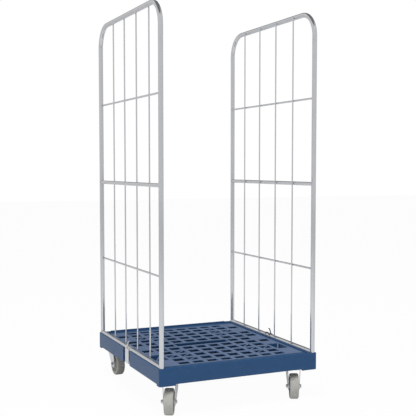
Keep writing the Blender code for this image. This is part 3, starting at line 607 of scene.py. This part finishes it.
class Fork:
    """The heading of a fork about its pivot, with the level of its top and the place of its axle."""

    def __init__(self, end, side, casters):
        name = f"caster_{end}_{side}"
        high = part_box(name + "_fork")[1]
        axle, axis = axle_of(end, side)
        if end == "front":
            pivot = middle_of(name + "_kingpin")
            self.top = high.z - casters.crown / 2
            self.axle_y = -(axle - pivot).xy.length
        else:
            pivot = middle_of(name + "_fork")
            self.top = high.z - casters.leg / 2
            self.axle_y = axle.y - pivot.y
        self.level = middle_of(name + "_wheel").z
        self.half = casters.leg_face + (self.top - self.level) * math.tan(casters.lean)
        heading = Matrix.Rotation(math.atan2(axis.y, axis.x), 4, "Z")
        self.matrix = Matrix.Translation((pivot.x, pivot.y, 0.0)) @ heading


# Sizes and colours that a user would change


def an_amount(name, description, default, **settings):
    return FloatProperty(name=name, description=description, default=default, **settings)


def a_length(name, description, default):
    return an_amount(name, description, default, unit="LENGTH")


def an_angle(name, description, degrees):
    return an_amount(name, description, math.radians(degrees), subtype="ANGLE")


def a_share(name, description, default):
    return an_amount(name, description, default, min=0.0, max=1.0)


def a_count(name, description, default, least):
    return IntProperty(name=name, description=description, default=default, min=least)


def a_vector(name, description, default, **settings):
    return FloatVectorProperty(name=name, description=description, default=default, **settings)


def a_colour(name, description, default):
    return a_vector(name, description, default, subtype="COLOR")


def a_place(name, description, default):
    return a_vector(name, description, default, unit="LENGTH")


class ContainerColours(bpy.types.PropertyGroup):
    plastic: a_colour("Plastic", "Colour of the moulded deck", (0.0145, 0.066, 0.172))
    # This colour serves both real dust and a painted sheen on the rib tops
    plastic_dust_and_sheen: a_colour("Plastic dust", "Colour of dust and of the rubbed ribs", (0.175, 0.235, 0.375))
    plastic_scuff: a_colour("Plastic scuffs", "Colour of scuff marks", (0.05, 0.11, 0.22))
    plastic_roughness: a_share("Plastic roughness", "Dullness of the deck", 0.40)
    plastic_sheen: a_share("Plastic sheen", "Soft shine of the moulded grain", 0.10)
    tube: a_colour("Tube zinc", "Colour of the plated tubes and wires", (0.66, 0.675, 0.695))
    tube_roughness: a_share("Tube roughness", "Dullness of the tubes", 0.10)
    sheet: a_colour("Sheet zinc", "Colour of forks, plates and latches", (0.76, 0.77, 0.80))
    # Colour of the painted shade on the right latch's tongue
    painted_tongue_shade: a_colour("Tarnish", "Colour of the dull tongue", (0.045, 0.055, 0.080))
    sheet_roughness: a_share("Sheet roughness", "Dullness of the pressed sheet", 0.32)
    grease: a_colour("Grease", "Colour of the film on turned steel", (0.30, 0.27, 0.22))
    wheel: a_colour("Wheel", "Colour of the wheels", (0.430, 0.427, 0.400))
    wheel_dirt: a_colour("Wheel dirt", "Colour of the dirt on the treads", (0.14, 0.13, 0.11))
    wheel_roughness: a_share("Wheel roughness", "Dullness of the wheels", 0.50)
    fastener: a_colour("Fasteners", "Colour of bolts, nuts and screws", (0.62, 0.63, 0.65))


class ContainerTubes(bpy.types.PropertyGroup):
    wall: a_length("Tube wall", "Wall of the bent tube", 0.0015)
    bend_radius: a_length("Bend radius", "Radius of the tube's centre line", 0.100)
    sides: a_count("Tube sides", "Faces round a tube", 40, 8)
    bend_steps: a_count("Bend steps", "Faces along a bend", 20, 3)
    bead: a_length("Weld bead", "Radius of a weld bead", 0.0016)
    spot: a_length("Spot weld", "Reach of a spot weld", 0.0034)


class ContainerEdges(bpy.types.PropertyGroup):
    cells_x: a_length("Cells across", "Half width of the cell grid", 0.320)
    cells_y: a_length("Cells along", "Half length of the cell grid", 0.356)
    cells_top: a_length("Cells level", "Level of the ribs' top", 0.195)
    cells_depth: a_length("Cells depth", "How far down the cells' edges are rounded", 0.0042)
    notch_start: a_length("Notch start", "Inner side of the front notches", 0.3930)
    notch_end: a_length("Notch end", "Outer side of the front notches", 0.4045)
    columns: a_count("Columns", "Number of cells across the deck", 10, 1)
    column: a_length("Column", "Distance between the cells' middles", 0.0632)
    socket: a_length("Socket", "Distance of a socket from the middle", 0.345)
    deck: a_length("Deck edges", "Rounding of moulded edges", 0.0007)
    sheet: a_length("Sheet edges", "Rounding of sheet edges", 0.0006)
    machined: a_length("Small edges", "Rounding of fasteners", 0.0004)


class ContainerCasters(bpy.types.PropertyGroup):
    tread_width: a_length("Tread", "Width over the tread", 0.038)
    tread_fall: a_length("Tread fall", "Fall of the tread beside its flat", 0.0012)
    flat_share: a_share("Tread flat", "Share of the tread that is flat", 0.60)
    fall_share: a_share("Tread fall reach", "Share of the tread up to the end of its fall", 0.85)
    hub_diameter: a_length("Hub", "Diameter of the hub", 0.034)
    rim_diameter: a_length("Rim", "Inner diameter of the rim", 0.082)
    web: a_length("Web", "Thickness of the web", 0.012)
    draft: a_length("Draft", "Slope of the rim's inner side", 0.0035)
    edge_drop: a_length("Tread edge", "Fall of the tread at its edges", 0.0045)
    wheel_round: a_length("Wheel rounding", "Rounding of the wheel's corners", 0.0012)
    bore: a_length("Bore", "Diameter of the wheel's bore", 0.0086)
    axle: a_length("Axle", "Diameter of the axle bolt", 0.008)
    tip: a_length("Bolt tip", "Chamfer at the end of the bolt", 0.001)
    flats: a_length("Spanner size", "Across the flats", 0.013)
    head: a_length("Head height", "Height of the bolt's head", 0.0055)
    head_gap: a_length("Head gap", "Between a boss and the bolt's head", 0.0003)
    head_chamfer: a_length("Head chamfer", "Chamfer of the bolt's head", 0.0007)
    leg: a_length("Leg sheet", "Thickness of the fork's sheet", 0.003)
    lean: an_angle("Leg lean", "Slope of the legs to the axle", 2.26)
    leg_face: a_length("Leg face", "Outer face of a leg at the axle", 0.0248)
    leg_end: a_length("Leg end", "Radius at the leg's end", 0.018)
    shoulder: a_length("Leg shoulder", "Level of the leg's bend", 0.097)
    shoulder_round: a_length("Shoulder rounding", "Rounding of the leg's bend", 0.012)
    boss_inner: a_length("Boss inside", "Inner face of a boss", 0.0198)
    boss_outer: a_length("Boss outside", "Outer face of a boss", 0.0260)
    boss_diameter: a_length("Boss", "Diameter of a boss", 0.024)
    boss_round: a_length("Boss rounding", "Rounding of a boss", 0.0007)
    crown: a_length("Crown", "Thickness of the fork's crown", 0.0035)
    crown_front: a_length("Crown front", "Crown ahead of the pin", 0.027)
    crown_back: a_length("Crown back", "Crown behind the axle", 0.006)
    crown_corner: a_length("Crown corner", "Radius of the crown's corners", 0.005)
    swivel_splay: an_angle("Swivel splay", "Turn of the legs outwards", 5.5)
    fixed_splay: an_angle("Fixed splay", "Turn of the legs outwards", 3.5)
    fixed_front: a_length("Fixed front", "Leg ahead of the plate's middle", 0.0385)
    fixed_back: a_length("Fixed back", "Leg behind the plate's middle", 0.0150)
    steps: a_count("Wheel faces", "Faces round a wheel", 96, 12)


class ContainerStage(bpy.types.PropertyGroup):
    camera_place: a_place("Camera place", "Where the camera stands", (-1.49735, -3.39756, 0.99410))
    camera_turn: an_angle("Camera turn", "Turn to the right of the Y axis", 24.423)
    camera_drop: an_angle("Camera drop", "Tilt below level", 3.599)
    camera_lens: an_amount("Lens", "Focal length on a 36 mm sensor", 71.507)
    shift_x: an_amount("Shift X", "Sideways shift of the image", -0.00673)
    shift_y: an_amount("Shift Y", "Upward shift of the image", 0.02500)
    floor: a_colour("Floor colour", "Colour of the floor", (0.80, 0.80, 0.80))
    floor_size: a_length("Floor", "Width of the floor", 40.0)
    floor_seen: a_share("Floor seen", "White of the floor as the camera sees it", 0.965)
    floor_mirrored: a_share("Floor mirrored", "White of the floor as metal mirrors it", 0.42)
    sky: an_amount("Sky", "Strength of the white surroundings", 0.70, min=0.0)
    sky_shade: an_amount("Far wall", "Strength of the far wall", 0.10, min=0.0)
    wall: a_vector("Wall heading", "To the right, ahead and up", (0.15, 0.85, 0.50), subtype="DIRECTION")
    wall_start: a_share("Wall start", "Cosine to its heading where it starts to darken", 0.74)
    wall_end: a_share("Wall end", "Cosine to its heading where it is darkest", 0.93)
    ceiling: a_share("Ceiling", "Share of the surroundings' strength overhead", 0.10)
    ceiling_start: a_share("Ceiling start", "Sine of the height where it starts to darken", 0.70)
    ceiling_end: a_share("Ceiling end", "Sine of the height where it is darkest", 0.86)
    key: an_amount("Key light", "Power of the soft key light in watts", 221.0, min=0.0)
    key_size: a_length("Key size", "Width of the key light", 3.0)
    key_place: a_place("Key place", "Where the key light hangs", (-1.4, -1.9, 5.2))
    key_aim: a_place("Key aim", "What the key light points at", (0.0, 0.0, 0.4))


# The pieces


class ROLLCONTAINER_OT_deck(bpy.types.Operator):
    """Moulded deck with rounded edges on its ribs, cells and skirts"""

    bl_idname = "rollcontainer.deck"
    bl_label = "Deck"

    def execute(self, context):
        edges = context.scene.container_edges
        middles = [(column - (edges.columns - 1) / 2) * edges.column for column in range(edges.columns)]
        bm = copy_of("deck", middles + [-edges.socket, edges.socket])
        bmesh.ops.recalc_face_normals(bm, faces=bm.faces)

        def in_sight(edge):
            middle = (edge.verts[0].co + edge.verts[1].co) / 2
            in_cells = abs(middle.x) < edges.cells_x and abs(middle.y) < edges.cells_y
            low = in_cells and middle.z < edges.cells_top - edges.cells_depth
            in_notches = abs(middle.x) < edges.cells_x and edges.notch_start < -middle.y < edges.notch_end
            return edge.is_convex and not low and not in_notches

        round_edges(bm, edges.deck, in_sight)
        material = moulded_plastic(context.scene.container_colours, edges)
        piece_from(bm, "deck_moulding", "base", material, ["deck"], DECK_CREASE, True)
        return {"FINISHED"}


class ROLLCONTAINER_OT_panels(bpy.types.Operator):
    """Bent tubes, rails, rods and wires of both side panels"""

    bl_idname = "rollcontainer.panels"
    bl_label = "Side Panels"

    def piece(self, bm, name, side, part, material):
        body = f"panel_{side}"
        return piece_from(bm, name, body, material, [f"{body}_{part}"], TUBE_CREASE)

    def frame_tube(self, side, hoop, tubes, material):
        reach = tubes.bend_radius
        rise = hoop.top - reach - hoop.foot - tubes.wall
        bm = bmesh.new()
        foot = Matrix.Translation((hoop.x, -hoop.y, hoop.foot))
        bmesh.ops.create_circle(bm, cap_ends=False, segments=tubes.sides, radius=hoop.radius, matrix=foot)
        ring = extend(bm, list(bm.edges), (0.0, 0.0, tubes.wall))
        ring = extend(bm, ring, (0.0, 0.0, rise))
        ring = bend(bm, ring, (hoop.x, reach - hoop.y, hoop.top - reach), tubes.bend_steps)
        ring = extend(bm, ring, (0.0, 2 * (hoop.y - reach), 0.0))
        ring = bend(bm, ring, (hoop.x, hoop.y - reach, hoop.top - reach), tubes.bend_steps)
        ring = extend(bm, ring, (0.0, 0.0, -rise))
        extend(bm, ring, (0.0, 0.0, -tubes.wall))
        weld(bm, bm.verts)
        bmesh.ops.recalc_face_normals(bm, faces=bm.faces)
        item = self.piece(bm, f"tube_frame_{side}", side, "frame", material)
        wall = item.modifiers.new("wall", "SOLIDIFY")
        wall.thickness = tubes.wall
        wall.offset = -1.0

    def execute(self, context):
        tubes = context.scene.container_tubes
        colours = context.scene.container_colours
        upright = zinc_plate("zinc_upright", colours, (1.0, 1.0, DRAWN_SHARE))
        level = zinc_plate("zinc_level", colours, (1.0, DRAWN_SHARE, 1.0))
        for side in SIDES:
            hoop = Hoop(side)
            self.frame_tube(side, hoop, tubes, upright)
            for name in RODS:
                centre, radius = rod_of(side, name)
                start = Vector((centre.x, -hoop.y, centre.z))
                end = Vector((centre.x, hoop.y, centre.z))
                bm = bmesh.new()
                rod_mesh(bm, start, end, radius, tubes.sides)
                self.piece(bm, f"{name}_{side}", side, name, level)
            for index in WIRES:
                foot, head, radius = wire_of(side, index)
                bm = bmesh.new()
                rod_mesh(bm, foot, head, radius, tubes.sides // 2, radius * WIRE_END_SHARE)
                self.piece(bm, f"wire_{side}_{index}", side, f"wire_{index}", upright)
        return {"FINISHED"}


class ROLLCONTAINER_OT_welds(bpy.types.Operator):
    """Weld beads where tubes, rods and wires of a panel meet"""

    bl_idname = "rollcontainer.welds"
    bl_label = "Welds"

    # Shares of the wire's radius outwards and sideways, then of the spot's reach in X, Y and Z

    rod_shares = (1.0, 0.75, 0.55, 0.55, 1.0)
    head_shares = (0.6, 0.8, 0.6, 0.6, 1.1)
    foot_shares = (0.8, 0.7, 0.5, 0.6, 0.8)

    def collar(self, bm, hoop, centre, radius, bead, facing):
        """A bead round a level rod's end that follows the round post."""
        before = set(bm.verts)
        place = Matrix.Translation((centre.x, facing * hoop.y, centre.z))
        ring = arc((radius, 0.0), bead, 0.0, 360.0 - 360.0 / BEAD_FACES, BEAD_FACES - 1)
        lathe(bm, ring, COLLAR_FACES, place @ Matrix.Rotation(RIGHT_ANGLE, 4, "X"))
        for vert in added(bm, before):
            across = min(abs(vert.co.x - hoop.x), hoop.radius)
            vert.co.y -= facing * math.sqrt(hoop.radius * hoop.radius - across * across)

    def spots(self, bm, side, wire, level, reach, shares):
        """A flattened blob of weld on either side of a wire."""
        foot, _, radius = wire
        out_share, aside_share, *size_shares = shares
        outward = -1 if side == "left" else 1
        for turn in (-1, 1):
            spot = (foot.x + outward * radius * out_share, foot.y + turn * radius * aside_share, level)
            size = [reach * size_share for size_share in size_shares]
            matrix = Matrix.Translation(spot) @ Matrix.Diagonal((*size, 1.0))
            bmesh.ops.create_uvsphere(
                bm, u_segments=BEAD_FACES, v_segments=SPOT_RINGS, radius=1.0, matrix=matrix
            )

    def execute(self, context):
        tubes = context.scene.container_tubes
        material = weld_metal(context.scene.container_colours)
        for side in SIDES:
            hoop = Hoop(side)
            rods = [rod_of(side, name) for name in RODS]
            head_level = hoop.top - hoop.radius * SPOT_DROP_SHARE
            bm = bmesh.new()
            for centre, radius in rods:
                for facing in (-1, 1):
                    self.collar(bm, hoop, centre, radius, tubes.bead, facing)
            for index in WIRES:
                wire = wire_of(side, index)
                foot_level = wire[0].z + tubes.spot * SPOT_LIFT_SHARE
                for centre, _ in rods[1:]:
                    self.spots(bm, side, wire, centre.z, tubes.spot, self.rod_shares)
                self.spots(bm, side, wire, head_level, tubes.spot, self.head_shares)
                self.spots(bm, side, wire, foot_level, tubes.spot, self.foot_shares)
            piece_from(bm, f"welds_{side}", f"panel_{side}", material, [], BEAD_CREASE)
        return {"FINISHED"}


class ROLLCONTAINER_OT_latches(bpy.types.Operator):
    """Pressed latches on the bottom bars"""

    bl_idname = "rollcontainer.latches"
    bl_label = "Latches"

    def execute(self, context):
        width = context.scene.container_edges.sheet
        material = pressed_steel(context.scene.container_colours)
        for side in SIDES:
            node = f"latch_{side}"
            rounded_copy(node, width, f"latch_plate_{side}", node, material, True)
        return {"FINISHED"}


class ROLLCONTAINER_OT_forks(bpy.types.Operator):
    """Pressed forks of the swivel and the fixed casters"""

    bl_idname = "rollcontainer.forks"
    bl_label = "Caster Forks"

    def legs(self, bm, casters, fork, front, rear, splay):
        """Both legs, each rounded about the axle's end, with a boss round the axle."""
        shoulder = (front, casters.shoulder)
        outline = [(front, fork.top), shoulder]
        outline += arc((fork.axle_y, fork.level), casters.leg_end, *LEG_CURVE, LEG_STEPS)
        outline += [(rear, fork.top)]
        boss = (
            (casters.bore / 2, casters.boss_inner),
            (casters.boss_diameter / 2, casters.boss_inner),
            (casters.boss_diameter / 2, casters.boss_outer),
            (casters.bore / 2, casters.boss_outer),
        )
        stand = Matrix.Rotation(RIGHT_ANGLE, 4, "Z") @ Matrix.Rotation(RIGHT_ANGLE, 4, "X")
        drop = Matrix.Translation((0.0, -fork.axle_y, -fork.top))
        axle = Matrix.Translation((0.0, fork.axle_y, fork.level))
        for side in (-1, 1):
            turn = Matrix.Rotation(-side * splay, 4, "Z") @ Matrix.Rotation(side * casters.lean, 4, "Y")
            lift = Matrix.Translation((side * (fork.half - casters.leg / 2), fork.axle_y, fork.top))
            matrix = fork.matrix @ lift @ turn @ drop @ stand
            slab(bm, outline, casters.leg, matrix, outline.index(shoulder), casters.shoulder_round)
            along = axle @ Matrix.Rotation(side * RIGHT_ANGLE, 4, "Y")
            lathe(bm, boss, BOSS_FACES, fork.matrix @ along, casters.boss_round)

    def crown(self, bm, casters, fork, front, rear):
        """The crown, wider at its front than at its rear."""
        corner = casters.crown_corner
        right = fork.half - corner
        outline = []
        for quarter, centre in enumerate(((right, front), (-right, front), (-right, rear), (right, rear))):
            outline += arc(centre, corner, 90.0 * quarter, 90.0 * (quarter + 1), CROWN_STEPS)
        slope = math.tan(casters.swivel_splay)
        widened = [(x + math.copysign((y - fork.axle_y) * slope, x), y) for x, y in outline]
        slab(bm, widened, casters.crown, fork.matrix @ Matrix.Translation((0.0, 0.0, fork.top)))

    def fixed_plate(self, node, casters, edges):
        """The flat top of the solid fork, with its screw holes."""
        bm = copy_of(node)
        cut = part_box(node)[1].z - casters.leg - PLATE_MARGIN
        gone = [vert for vert in bm.verts if vert.co.z < cut]
        bmesh.ops.delete(bm, geom=gone, context="VERTS")
        bmesh.ops.holes_fill(bm, edges=[edge for edge in bm.edges if edge.is_boundary], sides=0)
        round_edges(bm, edges.sheet)
        return bm

    def execute(self, context):
        casters = context.scene.container_casters
        edges = context.scene.container_edges
        material = pressed_steel(context.scene.container_colours)
        for end, side in CASTERS:
            node = f"caster_{end}_{side}_fork"
            fork = Fork(end, side, casters)
            if end == "front":
                front = casters.crown_front - casters.crown_corner
                rear = fork.axle_y - casters.crown_back + casters.crown_corner
                bm = bmesh.new()
                self.crown(bm, casters, fork, front, rear)
                self.legs(bm, casters, fork, front, rear, casters.swivel_splay)
            else:
                bm = self.fixed_plate(node, casters, edges)
                self.legs(bm, casters, fork, casters.fixed_front, -casters.fixed_back, casters.fixed_splay)
            body = fork_body(end, side)
            piece_from(bm, f"fork_{end}_{side}", body, material, [node], SHEET_CREASE, True)
        return {"FINISHED"}


class ROLLCONTAINER_OT_heads(bpy.types.Operator):
    """Top plates, bearing cups, races and king pins of the swivel casters"""

    bl_idname = "rollcontainer.heads"
    bl_label = "Swivel Heads"

    def execute(self, context):
        width = context.scene.container_edges.machined
        colours = context.scene.container_colours
        sheet = pressed_steel(colours)
        bright = turned_steel(colours)
        for side in SIDES:
            for part, body, material, slot in (
                ("plate", "base", sheet, "caster_steel"),
                ("kingpin", "base", bright, "bright_steel"),
                ("race", fork_body("front", side), bright, "bright_steel"),
            ):
                node = f"caster_front_{side}_{part}"
                rounded_copy(node, width, f"{part}_{side}", body, material, True)
        return {"FINISHED"}


class ROLLCONTAINER_OT_wheels(bpy.types.Operator):
    """Crowned wheels with recessed sides"""

    bl_idname = "rollcontainer.wheels"
    bl_label = "Wheels"

    def profile(self, casters, radius, hub_half):
        half = casters.tread_width / 2
        hub = casters.hub_diameter / 2
        rim = casters.rim_diameter / 2
        web = casters.web / 2
        upper = [
            (casters.bore / 2, hub_half),
            (hub, hub_half),
            (hub + casters.draft, web),
            (rim - casters.draft, web),
            (rim, half),
            (radius - casters.edge_drop, half),
            (radius - casters.tread_fall, half * casters.fall_share),
            (radius, half * casters.flat_share),
        ]
        lower = [(distance, -height) for distance, height in reversed(upper)]
        return upper + lower

    def execute(self, context):
        casters = context.scene.container_casters
        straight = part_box("caster_back_left_wheel")
        hub_half = (straight[1].x - straight[0].x) / 2
        material = wheel_plastic(context.scene.container_colours)
        for end, side in CASTERS:
            name = f"wheel_{end}_{side}"
            node = f"caster_{end}_{side}_wheel"
            low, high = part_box(node)
            matrix = laid_along((low + high) / 2, axle_of(end, side)[1])
            bm = bmesh.new()
            profile = self.profile(casters, (high.z - low.z) / 2, hub_half)
            lathe(bm, profile, casters.steps, matrix, casters.wheel_round)
            piece_from(bm, name + "_moulding", name, material, [node], SHEET_CREASE)
        return {"FINISHED"}


class ROLLCONTAINER_OT_fasteners(bpy.types.Operator):
    """Axle bolts, nuts and plate screws"""

    bl_idname = "rollcontainer.fasteners"
    bl_label = "Fasteners"

    def bolt(self, casters, length, matrix):
        """A hexagon head with a shank that ends in a chamfer, the head outside the boss."""
        head_low = casters.boss_outer + casters.head_gap
        head_high = head_low + casters.head
        inside = head_low + casters.head / 2
        end = head_high - length
        radius = casters.axle / 2
        shank = (
            (0.0, inside),
            (radius, inside),
            (radius, end + casters.tip),
            (radius - casters.tip, end),
            (0.0, end),
        )
        bm = bmesh.new()
        lathe(bm, shank, SHANK_FACES, matrix, closed=False)
        hexagon(bm, casters.flats, head_low, head_high, casters.head_chamfer, matrix)
        return bm

    def execute(self, context):
        casters = context.scene.container_casters
        width = context.scene.container_edges.machined
        material = zinc_fastener(context.scene.container_colours)
        for end, side in CASTERS:
            name = f"caster_{end}_{side}"
            body = fork_body(end, side)
            low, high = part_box(f"caster_back_{side}_axle_bolt")
            bm = self.bolt(casters, high.x - low.x, laid_along(*axle_of(end, side)))
            piece_from(bm, f"bolt_{end}_{side}", body, material, [name + "_axle_bolt"], SHEET_CREASE)
            rounded_copy(name + "_axle_nut", width, f"nut_{end}_{side}", body, material)
            for index in SCREWS:
                piece = f"screw_{end}_{side}_{index}"
                rounded_copy(f"{name}_screw_{index}", width, piece, "base", material)
        return {"FINISHED"}


class ROLLCONTAINER_OT_stage(bpy.types.Operator):
    """Pale floor, soft surroundings, key light and camera"""

    bl_idname = "rollcontainer.stage"
    bl_label = "Stage"

    def floor(self, stage):
        """A matt floor that the camera sees as white, and metal as grey."""
        material = bpy.data.materials.new("studio_floor_white")
        nodes = Nodes(material, "Principled BSDF")
        nodes.set("Base Color", rgba(stage.floor))
        nodes.set("Roughness", 0.9)
        nodes.set("Specular IOR Level", 0.0)
        rays = nodes.add("ShaderNodeLightPath").outputs
        seen = Number(nodes, rays["Is Camera Ray"]) * stage.floor_seen
        mirrored = Number(nodes, rays["Is Glossy Ray"]) * stage.floor_mirrored
        nodes.end_in("Material Output", mirrored + seen, nodes.add("ShaderNodeEmission"))
        bm = bmesh.new()
        bmesh.ops.create_grid(bm, x_segments=1, y_segments=1, size=stage.floor_size / 2)
        item_from(bm, "studio_floor", material)

    def world(self, scene, stage):
        """White all round, darker overhead and on the far wall, as in a studio with a large window."""
        scene.world = bpy.data.worlds.new("studio_surroundings")
        nodes = Nodes(scene.world, "Background")
        wall = (Matrix.Rotation(-stage.camera_turn, 3, "Z") @ Vector(stage.wall)).normalized()
        heading = nodes.add("ShaderNodeTexCoord").outputs["Generated"]
        towards = nodes.add("ShaderNodeVectorMath", {"operation": "DOT_PRODUCT"}, {0: heading, 1: wall})
        split = nodes.add("ShaderNodeSeparateXYZ", {}, {0: heading})
        to_wall = Number(nodes, towards.outputs["Value"])
        upward = Number(nodes, split.outputs["Z"])
        around = to_wall.eased(stage.wall_start, stage.wall_end, stage.sky, stage.sky_shade)
        overhead = upward.eased(stage.ceiling_start, stage.ceiling_end, 1.0, stage.ceiling)
        nodes.set("Color", WHITE)
        nodes.set("Strength", around * overhead)
        seen = nodes.add("ShaderNodeBackground", {}, {"Color": WHITE})
        rays = nodes.add("ShaderNodeLightPath").outputs
        nodes.end_in("World Output", rays["Is Camera Ray"], seen)

    def put(self, scene, data, spot, turn):
        item = bpy.data.objects.new(data.name, data)
        scene.collection.objects.link(item)
        item.location = spot
        item.rotation_euler = turn
        return item

    def lamp(self, scene, stage):
        light = bpy.data.lights.new("key_light", "AREA")
        light.shape = "DISK"
        light.size = stage.key_size
        light.energy = stage.key
        aim = Vector(stage.key_aim) - Vector(stage.key_place)
        item = self.put(scene, light, stage.key_place, aim.to_track_quat("-Z", "Y").to_euler())
        item.visible_glossy = False

    def camera(self, scene, stage):
        camera = bpy.data.cameras.new("photo_camera")
        camera.lens = stage.camera_lens
        camera.sensor_width = SENSOR_WIDTH
        camera.shift_x = stage.shift_x
        camera.shift_y = stage.shift_y
        turn = (RIGHT_ANGLE - stage.camera_drop, 0.0, -stage.camera_turn)
        scene.camera = self.put(scene, camera, stage.camera_place, turn)

    def execute(self, context):
        scene = context.scene
        stage = scene.container_stage
        scene.view_settings.view_transform = "Standard"
        self.floor(stage)
        self.world(scene, stage)
        self.lamp(scene, stage)
        self.camera(scene, stage)
        return {"FINISHED"}


class ROLLCONTAINER_PT_panel(bpy.types.Panel):
    """Lists the pieces of the roll container and their sizes and colours"""

    bl_idname = "ROLLCONTAINER_PT_panel"
    bl_label = "Roll Container"
    bl_space_type = "VIEW_3D"
    bl_region_type = "UI"
    bl_category = "Roll Container"

    def draw(self, context):
        layout = self.layout
        for operator in OPERATORS:
            layout.operator(operator.bl_idname)
        for name, group in GROUPS:
            settings = getattr(context.scene, name)
            box = layout.box()
            for key in group.__annotations__:
                box.prop(settings, key)


GROUPS = (
    ("container_colours", ContainerColours),
    ("container_tubes", ContainerTubes),
    ("container_edges", ContainerEdges),
    ("container_casters", ContainerCasters),
    ("container_stage", ContainerStage),
)
OPERATORS = (
    ROLLCONTAINER_OT_deck,
    ROLLCONTAINER_OT_panels,
    ROLLCONTAINER_OT_welds,
    ROLLCONTAINER_OT_latches,
    ROLLCONTAINER_OT_forks,
    ROLLCONTAINER_OT_heads,
    ROLLCONTAINER_OT_wheels,
    ROLLCONTAINER_OT_fasteners,
    ROLLCONTAINER_OT_stage,
)


def register():
    for name, group in GROUPS:
        bpy.utils.register_class(group)
        setattr(bpy.types.Scene, name, PointerProperty(type=group))
    for operator in OPERATORS:
        bpy.utils.register_class(operator)
    bpy.utils.register_class(ROLLCONTAINER_PT_panel)


def unregister():
    bpy.utils.unregister_class(ROLLCONTAINER_PT_panel)
    for operator in reversed(OPERATORS):
        bpy.utils.unregister_class(operator)
    for name, group in reversed(GROUPS):
        delattr(bpy.types.Scene, name)
        bpy.utils.unregister_class(group)


def main():
    register()
    bpy.ops.rollcontainer.deck()
    bpy.ops.rollcontainer.panels()
    bpy.ops.rollcontainer.welds()
    bpy.ops.rollcontainer.latches()
    bpy.ops.rollcontainer.forks()
    bpy.ops.rollcontainer.heads()
    bpy.ops.rollcontainer.wheels()
    bpy.ops.rollcontainer.fasteners()
    bpy.ops.rollcontainer.stage()


if __name__ == "__main__":
    main()
